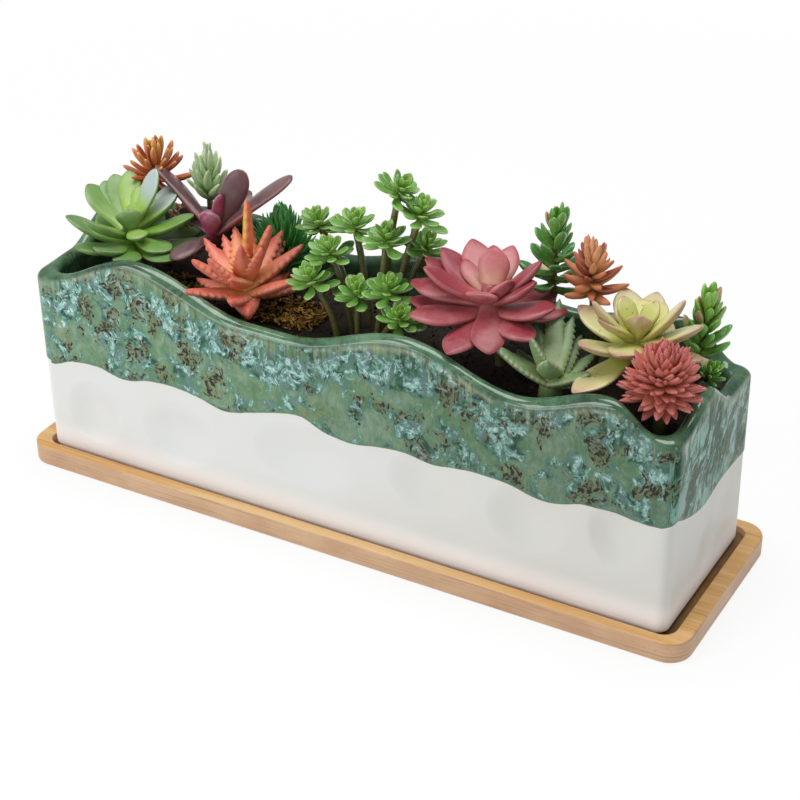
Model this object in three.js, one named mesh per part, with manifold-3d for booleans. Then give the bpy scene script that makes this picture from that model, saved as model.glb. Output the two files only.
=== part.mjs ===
// A rectangular ceramic planter with a wavy rim, standing in a bamboo tray and planted with succulents.
// Millimetres, +Z up. The origin is the centre of the tray's underside and +X runs along the planter.
import * as THREE from "three";
import { mergeVertices } from "three/addons/utils/BufferGeometryUtils.js";
import Module from "manifold-3d";

const wasm = await Module();
wasm.setup();

// Pot: the plan size is that of the outer walls, and the height is the mean height of the wavy rim.
const potLength = 301;
const potWidth = 81;
const potHeight = 95.6;
const potWall = 7;
const potFloor = 7;
const potCorner = 5;
const insideCorner = 6;
const footRound = 3;
const lipRound = 3.6;
const floorRound = 5;
const drainHole = 12;
const drainSpacing = 150;

// Tray: the pot's foot drops into its recess and has room to lie a little off the middle.
const trayThickness = 9.6;
const recessDepth = 4;
const recessEndRoom = 2.3;
const recessSideRoom = 1.6;
const recessCorner = 6;
const trayEndBorder = 7.2;
const traySideBorder = 5.35;
const trayCorner = 10.1;
const trayEdgeRound = 1;
const potShift = [-1.1, 0.3];

// Filling: the soil's level below the mean rim, its rise to the middle and the width of its slope.
const soilDrop = 17.5;
const soilDome = 1.5;
const soilSlope = 25;

// The room kept between pieces that touch.
const gap = 0.3;

// Dimples pressed into the long walls: [distance from the middle, height above the foot, half length].
const dimpleDepth = 1.3;
const dimpleHalfHeight = 16;
const dimples = [
  [-124, 25, 15],
  [-78, 27, 20],
  [-15, 35, 25],
  [46, 40, 20],
  [89, 37, 18],
  [129, 42, 14],
];

// Rim heights above the mean. Corners run front left, front right, back right, back left, and each
// side lists its crests and troughs as [share of the half side, height] in the direction of travel.
const rimCorners = [-6, -6.3, -12.5, -2.5];
const rimWaves = [
  [[-0.69, 9.3], [-0.295, -5.6], [-0.157, -5.8], [0.234, 7.5], [0.585, -5.3], [0.86, 4.8]],
  [[-0.16, -0.5], [0.5, -12.4]],
  [[-0.84, 3], [-0.5, -5], [-0.1, 6], [0.28, -6], [0.6, 2.5]],
  [[-0.39, 5.5], [0.45, -5.6]],
];

// Plants: the round sections of their stems and middles, and the picks that hold them upright.
const stemSides = 5;
const pickSides = 6;
const pickCover = 2;
const pickTip = 1.5;
const coreSides = 6;

// How much small leaves of one tier differ, as a share of their length.
const lengthSpread = 0.07;

const trayFloor = trayThickness - recessDepth;
const footHeight = trayFloor + gap;
const rimHeight = footHeight + potHeight;
const soilHeight = rimHeight - soilDrop;
const halfLength = potLength / 2;
const halfWidth = potWidth / 2;
const insideLength = halfLength - potWall;
const insideWidth = halfWidth - potWall;
const degrees = Math.PI / 180;

// A repeatable value from -1 to 1 that makes the leaves a little unequal.
function wobble(seed) {
  const value = Math.sin(seed * 12.9898) * 43758.5453;
  return 2 * (value - Math.floor(value)) - 1;
}

function mix(from, to, share) {
  return from + (to - from) * share;
}

function toSolid(geometry) {
  const bare = geometry.clone();
  bare.deleteAttribute("normal");
  bare.deleteAttribute("uv");
  const merged = mergeVertices(bare, 1e-4);
  const mesh = new wasm.Mesh({
    numProp: 3,
    vertProperties: merged.attributes.position.array,
    triVerts: new Uint32Array(merged.index.array),
  });
  return new wasm.Manifold(mesh);
}

function toGeometry(solid) {
  const mesh = solid.getMesh();
  const geometry = new THREE.BufferGeometry();
  geometry.setAttribute("position", new THREE.BufferAttribute(mesh.vertProperties, 3));
  geometry.setIndex(new THREE.BufferAttribute(mesh.triVerts, 1));
  geometry.computeVertexNormals();
  return geometry;
}

function join(solids) {
  return solids.reduce((whole, solid) => whole.add(solid));
}

// What is left of a piece after cutting, without the crumbs that the cut sets free.
function largestBody(solid) {
  const bodies = solid.decompose();
  return bodies.reduce((best, body) => (body.volume() > best.volume() ? body : best));
}

function centreOf(ring) {
  const centre = new THREE.Vector3();
  ring.forEach((point) => centre.add(point));
  return centre.divideScalar(ring.length);
}

// A closed surface through rings of equally many points, ended by a fan to a point at each end.
function loft(rings, tip) {
  const around = rings[0].length;
  const last = (rings.length - 1) * around;
  const points = rings.flat();
  const faces = [];
  const start = points.length;
  points.push(centreOf(rings[0]));
  points.push(tip ?? centreOf(rings[rings.length - 1]));
  for (let i = 0; i < around; i++) {
    const next = (i + 1) % around;
    faces.push(start, next, i);
    faces.push(start + 1, last + i, last + next);
    for (let base = 0; base < last; base += around) {
      faces.push(base + i, base + next, base + around + next);
      faces.push(base + i, base + around + next, base + around + i);
    }
  }
  const geometry = new THREE.BufferGeometry().setFromPoints(points);
  geometry.setIndex(faces);
  return geometry;
}

// The places round a rounded rectangle, each as its side or corner number and its share along it.
function stationsAround(longSteps, shortSteps, cornerSteps) {
  const stations = [];
  for (let side = 0; side < 4; side++) {
    const steps = side % 2 ? shortSteps : longSteps;
    for (let i = 0; i <= steps; i++) {
      stations.push({ side, share: (2 * i) / steps - 1 });
    }
    for (let i = 1; i < cornerSteps; i++) {
      stations.push({ side, turn: i / cornerSteps });
    }
  }
  return stations;
}

// The plan point at a station, travelling along the front to +X and on round anticlockwise.
function planPoint(station, halfX, halfY, radius) {
  const along = station.side % 2 ? halfY : halfX;
  const across = station.side % 2 ? halfX : halfY;
  const travel = new THREE.Vector2(1, 0);
  const outward = new THREE.Vector2(0, -1);
  const point = new THREE.Vector2();
  if (station.turn === undefined) {
    point.addScaledVector(travel, station.share * (along - radius));
    point.addScaledVector(outward, across);
  } else {
    const angle = (station.turn * Math.PI) / 2;
    point.addScaledVector(travel, along - radius + radius * Math.sin(angle));
    point.addScaledVector(outward, across - radius + radius * Math.cos(angle));
  }
  return point.rotateAround(new THREE.Vector2(), (station.side * Math.PI) / 2);
}

function planRing(stations, halfX, halfY, corner, heightAt) {
  return stations.map((station) => {
    const point = planPoint(station, halfX, halfY, corner);
    return new THREE.Vector3(point.x, point.y, heightAt(station));
  });
}

// A ring set in from the pot's outer walls.
function potRing(stations, inset, corner, heightAt) {
  return planRing(stations, halfLength - inset, halfWidth - inset, corner, heightAt);
}

// The rim's height over its mean, eased from each crest to the next trough.
function rimWave(station) {
  const corner = rimCorners[(station.side + 1) % 4];
  if (station.turn !== undefined) {
    return corner;
  }
  const stops = [[-1, rimCorners[station.side]], ...rimWaves[station.side], [1, corner]];
  const next = Math.max(1, stops.findIndex(([share]) => share >= station.share));
  const [fromShare, fromHeight] = stops[next - 1];
  const [toShare, toHeight] = stops[next];
  const part = (station.share - fromShare) / (toShare - fromShare);
  return mix(fromHeight, toHeight, (1 - Math.cos(part * Math.PI)) / 2);
}

// How far a long wall is pressed in at a height above the foot. The back wall repeats the front.
function dimpleAt(station, height) {
  if (station.side % 2 || station.turn !== undefined) {
    return 0;
  }
  const along = station.share * (halfLength - potCorner);
  const depths = dimples.map(([middle, level, halfSpan]) => {
    const reach = Math.hypot((along - middle) / halfSpan, (height - level) / dimpleHalfHeight);
    return reach < 1 ? dimpleDepth * Math.cos((reach * Math.PI) / 2) : 0;
  });
  return Math.max(...depths);
}

// The outer wall's rings over the dimples, from below the lowest one to above the highest.
function dimpledRings(stations) {
  const levels = dimples.map(([, level]) => level);
  const bottom = Math.min(...levels) - dimpleHalfHeight;
  const top = Math.max(...levels) + dimpleHalfHeight;
  const steps = 5;
  return Array.from({ length: steps + 1 }, (_, i) => {
    const height = mix(bottom, top, i / steps);
    return stations.map((station) => {
      const pressed = dimpleAt(station, height);
      const point = planPoint(station, halfLength, halfWidth - pressed, potCorner);
      return new THREE.Vector3(point.x, point.y, footHeight + height);
    });
  });
}

// The rim's rings, rounded over from the outer wall to the inner one.
function lipRings(stations, grow) {
  const steps = 4;
  return Array.from({ length: steps + 1 }, (_, i) => {
    const share = i / steps;
    const angle = share * Math.PI;
    const inset = ((potWall + 2 * grow) * (1 - Math.cos(angle))) / 2 - grow;
    const sink = lipRound * (1 - Math.sin(angle)) - grow;
    const corner = mix(potCorner, insideCorner, share);
    return potRing(stations, inset, corner, (station) => rimHeight + rimWave(station) - sink);
  });
}

// The pot's skin in one closed run: underside, outer wall, rounded lip, inner wall and floor.
function potSkin(grow) {
  const stations = stationsAround(22, 6, 3);
  const rings = [];
  [0, 0.5, 1].forEach((share) => {
    const inset = footRound * (1 - Math.sin((share * Math.PI) / 2)) - grow;
    const height = footHeight + footRound * (1 - Math.cos((share * Math.PI) / 2)) - grow;
    rings.push(potRing(stations, inset, potCorner, () => height));
  });
  if (!grow) {
    rings.push(...dimpledRings(stations));
  }
  rings.push(...lipRings(stations, grow));
  [0, 1].forEach((share) => {
    const inset = potWall + floorRound * share + grow;
    const height = footHeight + potFloor + floorRound * (1 - share) + grow;
    rings.push(potRing(stations, inset, insideCorner, () => height));
  });
  return toSolid(loft(rings));
}

function drainCutter(side) {
  const hole = new THREE.CylinderGeometry(drainHole / 2, drainHole / 2, potFloor * 4, 20);
  hole.rotateX(Math.PI / 2);
  hole.translate((side * drainSpacing) / 2, 0, footHeight);
  return toSolid(hole);
}

function ceramicPot() {
  return potSkin(0).subtract(drainCutter(-1)).subtract(drainCutter(1));
}

// The soil's block, which fills the pot to its level and rises a little to the middle.
function soilBlock(grow) {
  const stations = stationsAround(12, 4, 2);
  const bottom = footHeight + potFloor + gap - grow;
  const layers = [
    [floorRound, bottom],
    [0, bottom + floorRound],
    [0, soilHeight + grow],
    [soilSlope / 2, soilHeight + soilDome / 2 + grow],
    [soilSlope, soilHeight + soilDome + grow],
  ];
  const rings = layers.map(([inset, height]) =>
    potRing(stations, potWall + gap - grow + inset, insideCorner, () => height),
  );
  return toSolid(loft(rings));
}

// The tray in one closed run: underside, outer edge, border and recess.
function bambooTray() {
  const stations = stationsAround(2, 1, 4);
  const recessX = halfLength + recessEndRoom;
  const recessY = halfWidth + recessSideRoom;
  const outerX = recessX + trayEndBorder;
  const outerY = recessY + traySideBorder;
  const roundX = outerX - trayEdgeRound;
  const roundY = outerY - trayEdgeRound;
  const roundCorner = trayCorner - trayEdgeRound;
  const runs = [
    [roundX, roundY, roundCorner, 0],
    [outerX, outerY, trayCorner, trayEdgeRound],
    [outerX, outerY, trayCorner, trayThickness - trayEdgeRound],
    [roundX, roundY, roundCorner, trayThickness],
    [recessX, recessY, recessCorner, trayThickness],
    [recessX, recessY, recessCorner, trayFloor],
  ];
  const rings = runs.map(([halfX, halfY, corner, height]) =>
    planRing(stations, halfX, halfY, corner, () => height),
  );
  return toSolid(loft(rings));
}

// Leaf outlines as rings of [share of the length, share of the width, share of the thickness].
const leafShapes = {
  spoon: { sides: 4, rings: [[0, 0.35, 0.8], [0.65, 1, 1], [0.92, 0.6, 0.5]] },
  petal: { sides: 4, rings: [[0, 0.45, 0.9], [0.55, 1, 1], [0.85, 0.7, 0.6]] },
  lance: { sides: 4, rings: [[0, 0.95, 0.9], [0.45, 0.9, 0.9]] },
  paddle: { sides: 4, rings: [[0, 0.35, 0.8], [0.6, 1, 1], [0.93, 0.6, 0.6]] },
};

// One leaf along +X. It curls up by an angle along its length and cups its edges up by a share.
function leafGeometry(leaf, grow) {
  const shape = leafShapes[leaf.shape];
  const spine = (share) => {
    const bend = (leaf.curl * share) / 2;
    const reach = leaf.length * share + grow * (2 * share - 1);
    return new THREE.Vector3(Math.cos(bend), 0, Math.sin(bend)).multiplyScalar(reach);
  };
  const rings = shape.rings.map(([share, widthShare, thickShare]) => {
    const across = (leaf.width / 2) * widthShare + grow;
    const deep = (leaf.thick / 2) * thickShare + grow;
    const lean = leaf.curl * share;
    const up = new THREE.Vector3(-Math.sin(lean), 0, Math.cos(lean));
    return Array.from({ length: shape.sides }, (_, i) => {
      const angle = (i * 2 * Math.PI) / shape.sides;
      const lift = deep * Math.sin(angle) + leaf.cup * across * Math.cos(angle) ** 2;
      const point = spine(share).addScaledVector(up, lift);
      point.y += across * Math.cos(angle);
      return point;
    });
  });
  return loft(rings, spine(1));
}

// The leaves of a head, layer by layer: each runs from the middle to its tip at a bearing and a lift.
function placedLeaves(head, grow) {
  return head.layers.flatMap(({ seat, curl, leaves }) =>
    leaves.map(([bearing, lift, length, width, thick = head.thick, roll = 0]) => {
      const bend = curl * degrees;
      const leaf = { shape: head.shape, cup: head.cup, length, width, thick, curl: bend };
      const geometry = leafGeometry(leaf, grow);
      geometry.rotateX(roll * degrees);
      geometry.rotateY(bend / 2 - lift * degrees);
      geometry.translate(0, 0, seat);
      return geometry.rotateZ(bearing * degrees);
    }),
  );
}

// A ring of points round a tier of small leaves: a valley and then a leaf's end, over and over.
function starRing(tier, grow, seed) {
  const step = 360 / tier.leaves;
  const lift = tier.lift * degrees;
  const ring = [];
  const add = (turn, reach) => {
    const angle = turn * degrees;
    const out = reach * Math.cos(lift);
    const rise = tier.height + reach * Math.sin(lift);
    ring.push(new THREE.Vector3(out * Math.cos(angle), out * Math.sin(angle), rise));
  };
  for (let i = 0; i < tier.leaves; i++) {
    const turn = tier.turn + i * step;
    const reach = tier.length * (1 + lengthSpread * wobble(seed + i)) + grow;
    add(turn - step / 2, tier.length * tier.valley + grow);
    if (tier.blunt) {
      add(turn - step * tier.blunt, reach);
      add(turn + step * tier.blunt, reach);
    } else {
      add(turn, reach);
    }
  }
  return ring;
}

// The same ring drawn in to the stalk, between one tier and the next.
function stalkRing(ring, radius, height) {
  return ring.map((point) => {
    const drawn = new THREE.Vector3(point.x, point.y, 0).setLength(radius);
    return drawn.setZ(height);
  });
}

// A head of small leaves: tiers of stars up a stalk, each reaching into the next ones.
function tieredHead(head, grow, seed) {
  return head.tiers.map((tier, i) => {
    const star = starRing(tier, grow, seed + i * 20);
    const foot = stalkRing(star, tier.stalk + grow, tier.height - tier.thick / 2 - grow);
    return loft([foot, star], new THREE.Vector3(0, 0, tier.height + tier.thick + grow));
  });
}

// The middle of a head that its leaves grow from, as [top radius, bottom radius, bottom, top].
function coreGeometry(core, grow) {
  const [topRadius, bottomRadius, bottom, top] = core;
  const tall = top - bottom + 2 * grow;
  const geometry = new THREE.CylinderGeometry(topRadius + grow, bottomRadius + grow, tall, coreSides);
  geometry.rotateX(Math.PI / 2);
  geometry.translate(0, 0, (top + bottom) / 2);
  return geometry;
}

// A head, leant over towards a bearing and moved to its place on the plant.
function headSolid(head, grow, seed) {
  const leaves = head.tiers ? tieredHead(head, grow, seed) : placedLeaves(head, grow);
  const pieces = head.core ? [coreGeometry(head.core, grow), ...leaves] : leaves;
  const place = new THREE.Matrix4().makeTranslation(...head.at);
  place.multiply(new THREE.Matrix4().makeRotationZ(head.lean[0] * degrees));
  place.multiply(new THREE.Matrix4().makeRotationY(head.lean[1] * degrees));
  place.multiply(new THREE.Matrix4().makeRotationZ(-head.lean[0] * degrees));
  return join(pieces.map((piece) => toSolid(piece.applyMatrix4(place))));
}

// A stem that rises from the buried pick, past its place at soil level, to the head.
function stemSolid(plant, head, grow) {
  const [footX, footY] = head.foot ?? [0, 0];
  const [headX, headY, headZ] = head.at;
  const path = new THREE.CatmullRomCurve3([
    new THREE.Vector3(footX, footY, -pickCover - 1),
    new THREE.Vector3(mix(footX, headX, 0.3), mix(footY, headY, 0.3), headZ / 2),
    new THREE.Vector3(headX, headY, headZ),
  ]);
  const section = new THREE.Shape();
  const radius = plant.stem / 2 + grow;
  for (let i = 0; i < stemSides; i++) {
    const angle = (i * 2 * Math.PI) / stemSides;
    section[i ? "lineTo" : "moveTo"](radius * Math.cos(angle), radius * Math.sin(angle));
  }
  return toSolid(new THREE.ExtrudeGeometry(section, { steps: 3, extrudePath: path }));
}

// The pick under the soil that holds the plant upright: a blunt cone below its cover of soil.
function pickSolid(plant, grow) {
  const [radius, depth] = plant.pick;
  const tall = depth - pickCover + 2 * grow;
  const cone = new THREE.CylinderGeometry(radius + grow, pickTip + grow, tall, pickSides);
  cone.rotateX(Math.PI / 2);
  cone.translate(0, 0, -(depth + pickCover) / 2);
  return toSolid(cone);
}

function rootSolid(plant, grow) {
  const stems = plant.heads.map((head) => stemSolid(plant, head, grow));
  return join([pickSolid(plant, grow), ...stems]);
}

function plantSolid(plant, grow, seed) {
  const heads = plant.heads.map((head, i) => headSolid(head, grow, seed + i * 7));
  return join([rootSolid(plant, grow), ...heads]);
}

// Tiers of leaves up a stalk. Paired values run from the lowest tier to the topmost one.
function tiers(count, tier) {
  return Array.from({ length: count }, (_, i) => {
    const share = i / (count - 1);
    return {
      ...tier,
      turn: tier.turn + (i * 180) / tier.leaves,
      length: mix(...tier.length, share),
      lift: mix(...tier.lift, share),
      height: mix(...tier.height, share),
    };
  });
}

// The short stalks set all round with small fleshy leaves.
function sedumHead(at, size, tall, count, lean) {
  const tier = {
    leaves: 5,
    turn: at[0] * 9,
    length: [size * 0.52, size * 0.4],
    lift: [6, 68],
    height: [-tall * 0.5, tall * 0.3],
    valley: 0.34,
    thick: tall / count,
    stalk: size * 0.1,
  };
  return { at, lean, tiers: tiers(count, tier) };
}

// A sedum's main head, and a smaller one lower down on the same plant.
function sedum(main, sprout) {
  const heads = [main, sprout];
  return heads.map((head) => sedumHead(head.at, head.size, head.tall, head.count, head.lean));
}

// One head of the branching plant: a flat little rosette of round-ended leaves.
function jellyHead(at, foot, turn, lean, size) {
  const tier = {
    leaves: 6,
    turn,
    length: [size * 0.47, size * 0.36],
    lift: [2, 44],
    height: [-size * 0.08, size * 0.1],
    valley: 0.5,
    thick: size * 0.2,
    stalk: size * 0.12,
    blunt: 0.24,
  };
  return { at, foot, lean, tiers: tiers(2, tier) };
}

// Leaves set by hand are listed as [bearing, lift, length, width], and some add a thickness and a roll.
function greenRosette() {
  return [
    {
      at: [0, 0, 22.3],
      foot: [1, 6],
      lean: [0, 0],
      core: [3.2, 5.5, -8, 7],
      shape: "spoon",
      thick: 4.4,
      cup: 0.14,
      layers: [
        {
          seat: -4,
          curl: 24,
          leaves: [
            [-150, 26, 31, 13],
            [-105, 16, 31, 13.5],
            [-85, 18, 28, 13],
            [-61, 10, 30, 12.5],
            [-17, 5, 30, 13],
            [16, 6, 34, 13],
            [58, -1, 33, 13.5],
            [105, 4, 31, 13],
            [150, 6, 31, 13],
          ],
        },
        {
          seat: 0,
          curl: 20,
          leaves: [
            [-103, 33, 29, 13],
            [169, 33, 31, 13.5],
            [151, 33, 30, 12],
            [141, 37, 31, 12.5],
            [24, 20, 30, 14],
            [-11, 0, 24, 13],
            [69, 33, 31, 13],
          ],
        },
        {
          seat: 3,
          curl: 16,
          leaves: [
            [124, 34, 30, 10.5],
            [58, 61, 29, 13],
            [53, 31, 26, 12],
            [111, 35, 22, 7],
            [-38, 8, 15, 10],
            [-52, 68, 12, 12.5, 7],
            [96, 42, 13, 11],
          ],
        },
      ],
    },
  ];
}

function pinkRosette() {
  return [
    {
      at: [0, 0, 33.6],
      foot: [1, 9],
      lean: [0, 0],
      core: [3.2, 5.5, -8, 8],
      shape: "petal",
      thick: 5,
      cup: 0.08,
      layers: [
        {
          seat: -4,
          curl: 14,
          leaves: [
            [-95, -10, 31, 14],
            [-28, 0, 29, 14],
            [-132, 7, 34, 14.5],
            [-176, -3, 35, 14],
            [61, -2, 33, 14],
            [-5, 18, 31, 15],
            [25, 2, 31, 14],
            [105, 0, 32, 14],
            [147, 0, 33, 14],
          ],
        },
        {
          seat: 0,
          curl: 16,
          leaves: [
            [-63, -16, 29, 14],
            [-174, 5, 34, 14],
            [-147, 32, 31, 13],
            [173, 19, 33, 13.5],
            [162, 27, 31, 12],
            [20, 44, 28, 13],
            [0, 34, 24, 13],
          ],
        },
        {
          seat: 2,
          curl: 18,
          leaves: [
            [135, 31, 28, 13],
            [114, 26, 26, 12],
            [93, 29, 26, 11],
            [-86, 30, 15, 13.5],
            [155, 30, 20, 9.5],
            [100, 70, 20, 13, 7.5],
            [-22, 46, 17, 10.5],
          ],
        },
      ],
    },
  ];
}

function yellowRosette() {
  return [
    {
      at: [0, 0, 26.8],
      lean: [0, 0],
      core: [3, 5, -8, 6],
      shape: "petal",
      thick: 3.8,
      cup: 0.16,
      layers: [
        {
          seat: -3,
          curl: 20,
          leaves: [
            [-120, 21, 30, 13],
            [-109, -8, 36, 14],
            [-11, 12, 31, 13],
            [42, -19, 37, 14],
            [170, 20, 30, 13],
            [88, -2, 30, 13],
            [130, 0, 31, 13],
          ],
        },
        {
          seat: 0,
          curl: 22,
          leaves: [
            [-134, 48, 29, 12.5],
            [125, 21, 29, 13],
            [97, 20, 28, 12],
            [5, 51, 29, 12.5],
            [-2, 29, 31, 13.5],
            [-88, 14, 22, 14],
          ],
        },
        {
          seat: 3,
          curl: 18,
          leaves: [
            [-123, 34, 22, 11],
            [124, 12, 20, 10.5],
            [106, 16, 21, 11],
            [84, 14, 22, 10.5],
            [150, 50, 17, 9],
            [62, 55, 16, 9],
            [-65, 66, 13, 10.5, 6],
          ],
        },
      ],
    },
  ];
}

function coralAloe() {
  return [
    {
      at: [0, 0, 15.6],
      lean: [0, 0],
      core: [3.5, 5, -8, 6],
      shape: "lance",
      thick: 5,
      cup: 0.1,
      layers: [
        {
          seat: -3,
          curl: 12,
          leaves: [
            [-122, 17, 28, 10],
            [174, -2, 27, 9.5],
            [77, -1, 27, 9.5],
            [2, 26, 28, 9.5],
            [-72, 17, 22, 10],
            [125, -2, 28, 9.5],
            [38, 4, 28, 9.5],
            [-52, -4, 18, 11, 8],
          ],
        },
        {
          seat: 0,
          curl: 10,
          leaves: [
            [-130, 38, 28, 10],
            [-112, 48, 26, 9.5],
            [162, 27, 30, 9.5],
            [83, 20, 30, 9.5],
            [82, 32, 31, 9.5],
            [143, 27, 29, 9],
            [40, 34, 31, 9.5],
          ],
        },
        {
          seat: 2,
          curl: 8,
          leaves: [
            [131, 28, 30, 9],
            [115, 30, 31, 9],
            [15, 66, 31, 9],
            [-15, 60, 24, 9],
            [-75, 31, 19, 9],
            [-58, 67, 25, 9],
            [28, 86, 38.5, 10],
          ],
        },
      ],
    },
  ];
}

function paleAloe() {
  return [
    {
      at: [0, 0, 11.6],
      lean: [0, 0],
      core: [3.5, 5, -7, 5],
      shape: "lance",
      thick: 4.6,
      cup: 0.14,
      layers: [
        {
          seat: 0,
          curl: 16,
          leaves: [
            [-158, 35, 27, 10],
            [83, 25, 25, 9],
            [68, 10, 24, 9.5],
            [-10, 30, 21, 9.5],
            [150, 8, 24, 9.5],
            [25, 8, 24, 9.5],
          ],
        },
        {
          seat: 3,
          curl: 10,
          leaves: [
            [135, 28, 24, 9],
            [95, 31, 28, 9],
            [-125, 64, 21, 10],
            [109, 34, 34, 10],
            [-71, 48, 18, 10],
          ],
        },
      ],
    },
  ];
}

function purplePaddles() {
  const flat = 4.6;
  const fat = 9;
  return [
    {
      at: [0, 0, 24.8],
      lean: [0, 0],
      core: [3, 3.5, -5, 4],
      shape: "paddle",
      thick: flat,
      cup: 0.05,
      layers: [
        {
          seat: 0,
          curl: -10,
          leaves: [
            [158, 25, 45, 13.5, flat, 35],
            [-2, 60, 36, 11.5, flat, 100],
            [5, 41, 51, 13, flat, 12],
            [157, 8, 26, 11],
            [-104, -6, 25, 10],
            [80, 30, 26, 11],
            [-78, 62, 16, 9, fat],
            [-29, 72, 23, 5.5],
          ],
        },
      ],
    },
  ];
}

function darkTuft() {
  const tier = {
    leaves: 11,
    turn: 0,
    length: [18, 14],
    lift: [2, 70],
    height: [-10, 3],
    valley: 0.55,
    thick: 4,
    stalk: 5,
  };
  return [{ at: [0, 0, 22], lean: [0, 0], tiers: tiers(5, tier) }];
}

function redBall() {
  const tier = {
    leaves: 10,
    turn: 0,
    length: [18, 14],
    lift: [-14, 72],
    height: [-4, 2],
    valley: 0.55,
    thick: 4,
    stalk: 4.5,
  };
  return [{ at: [0, 0, 25], lean: [-62, 12], tiers: tiers(5, tier) }];
}

function jellyCluster() {
  const size = 23;
  return [
    jellyHead([-32, 15, 40], [-9, 6], 10, [180, 10], size),
    jellyHead([-13, 13, 44], [-4, 8], 40, [0, 4], size),
    jellyHead([-19, 2, 35], [-8, 0], 70, [-90, 10], size),
    jellyHead([-22, -8, 26], [-11, -6], 15, [-100, 12], size),
    jellyHead([7, 4, 46], [4, 4], 50, [-60, 8], size),
    jellyHead([10, 10, 66], [2, 9], 30, [0, 30], size),
    jellyHead([20, 10, 58], [8, 8], 5, [0, 14], size),
    jellyHead([20, 14, 41], [9, 9], 60, [0, 24], size),
    jellyHead([-1, -6, 24], [-2, -5], 35, [-90, 14], size),
    jellyHead([14, -6, 29], [6, -4], 80, [-60, 14], size),
    jellyHead([23, -14, 22], [9, -7], 20, [-50, 20], size * 0.9),
  ];
}

function tallGreenSedum() {
  return sedum(
    { at: [0, 0, 48], size: 24, tall: 36, count: 6, lean: [-62, 4] },
    { at: [-12, 3, 23], size: 13, tall: 10, count: 3, lean: [180, 22] },
  );
}

function peachSedum() {
  return sedum(
    { at: [-2, 0, 45], size: 28, tall: 22, count: 5, lean: [-62, 6] },
    { at: [12, -3, 22], size: 14, tall: 9, count: 3, lean: [0, 26] },
  );
}

function orangeSedum() {
  return sedum(
    { at: [-2, 0, 40], size: 31, tall: 16, count: 4, lean: [-62, 6] },
    { at: [11, 0, 21], size: 14, tall: 9, count: 3, lean: [0, 22] },
  );
}

function mintSedum() {
  return sedum(
    { at: [0, 0, 41], size: 27, tall: 22, count: 5, lean: [-62, 6] },
    { at: [13, 1, 25], size: 14, tall: 9, count: 3, lean: [0, 30] },
  );
}

function greenSedum() {
  return sedum(
    { at: [4, 0, 32], size: 22, tall: 26, count: 5, lean: [0, 6] },
    { at: [10, -6, 16], size: 12, tall: 8, count: 3, lean: [-30, 28] },
  );
}

// Every plant, front ones first, since each one gives way to those before it. A place is a share of
// the pot's inside, a pick is [radius, depth] and a color is that of most of the leaves.
const plants = [
  { name: "coral_aloe", place: [-0.39, -0.487], stem: 5, pick: [4.5, 20], color: 0xd9694f },
  { name: "pink_rosette", place: [0.39, -0.278], stem: 4.5, pick: [12, 22], color: 0xc4565f },
  { name: "red_spiky_ball", place: [0.935, -0.56], stem: 5, pick: [4.5, 20], color: 0xa8565a },
  { name: "pale_toothed_aloe", place: [0.617, -0.606], stem: 6, pick: [4.5, 18], color: 0x9fb996 },
  { name: "green_rosette", place: [-0.829, -0.278], stem: 4.5, pick: [9, 22], color: 0x6f9e52 },
  { name: "jelly_bean_cluster", place: [-0.013, -0.188], stem: 2.8, pick: [13, 24], color: 0x5c9140 },
  { name: "yellow_rosette", place: [0.808, -0.039], stem: 4.5, pick: [4.5, 20], color: 0xc9c98a },
  { name: "purple_paddle_plant", place: [-0.583, 0.11], stem: 5, pick: [4.5, 20], color: 0x6a4a58 },
  { name: "tall_green_sedum", place: [0.495, 0.53], stem: 3, pick: [4, 20], color: 0x3f7d3c },
  { name: "peach_sedum", place: [0.635, 0.41], stem: 3, pick: [4, 20], color: 0xc07a58 },
  { name: "orange_sedum", place: [-0.856, 0.59], stem: 3, pick: [4, 20], color: 0xb8622f },
  { name: "mint_sedum", place: [-0.675, 0.59], stem: 3, pick: [4, 20], color: 0xa9cf98 },
  { name: "green_sedum", place: [0.93, 0.41], stem: 3, pick: [4, 18], color: 0x4f9a42 },
  { name: "dark_green_tuft", place: [-0.397, 0.47], stem: 5, pick: [4.5, 18], color: 0x1f5a36 },
];

const plantHeads = {
  coral_aloe: coralAloe,
  pink_rosette: pinkRosette,
  red_spiky_ball: redBall,
  pale_toothed_aloe: paleAloe,
  green_rosette: greenRosette,
  jelly_bean_cluster: jellyCluster,
  yellow_rosette: yellowRosette,
  purple_paddle_plant: purplePaddles,
  tall_green_sedum: tallGreenSedum,
  peach_sedum: peachSedum,
  orange_sedum: orangeSedum,
  mint_sedum: mintSedum,
  green_sedum: greenSedum,
  dark_green_tuft: darkTuft,
};

// Loose pads of dried moss on the soil, given by their place and half sizes.
const mossDepth = 1;
const mossPads = [
  { name: "moss_pad_front", place: [-0.3, -0.17], half: [19, 11], tall: 5 },
  { name: "moss_pad_left", place: [-0.66, -0.2], half: [12, 9], tall: 4.5 },
];

function insidePlace(place) {
  return [place[0] * insideLength, place[1] * insideWidth];
}

function mossSolid(pad, seed) {
  const around = 14;
  const levels = [[1, 0], [1.02, 0.35], [0.72, 0.85], [0.3, 1]];
  const [x, y] = insidePlace(pad.place);
  const rings = levels.map(([spread, rise]) =>
    Array.from({ length: around }, (_, i) => {
      const angle = (i * 2 * Math.PI) / around;
      const reach = spread * (1 + 0.12 * wobble(seed + i));
      const px = x + pad.half[0] * reach * Math.cos(angle);
      const py = y + pad.half[1] * reach * Math.sin(angle);
      return new THREE.Vector3(px, py, soilHeight - mossDepth + (pad.tall + mossDepth) * rise);
    }),
  );
  return toSolid(loft(rings));
}

const planter = new THREE.Group();

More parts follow.
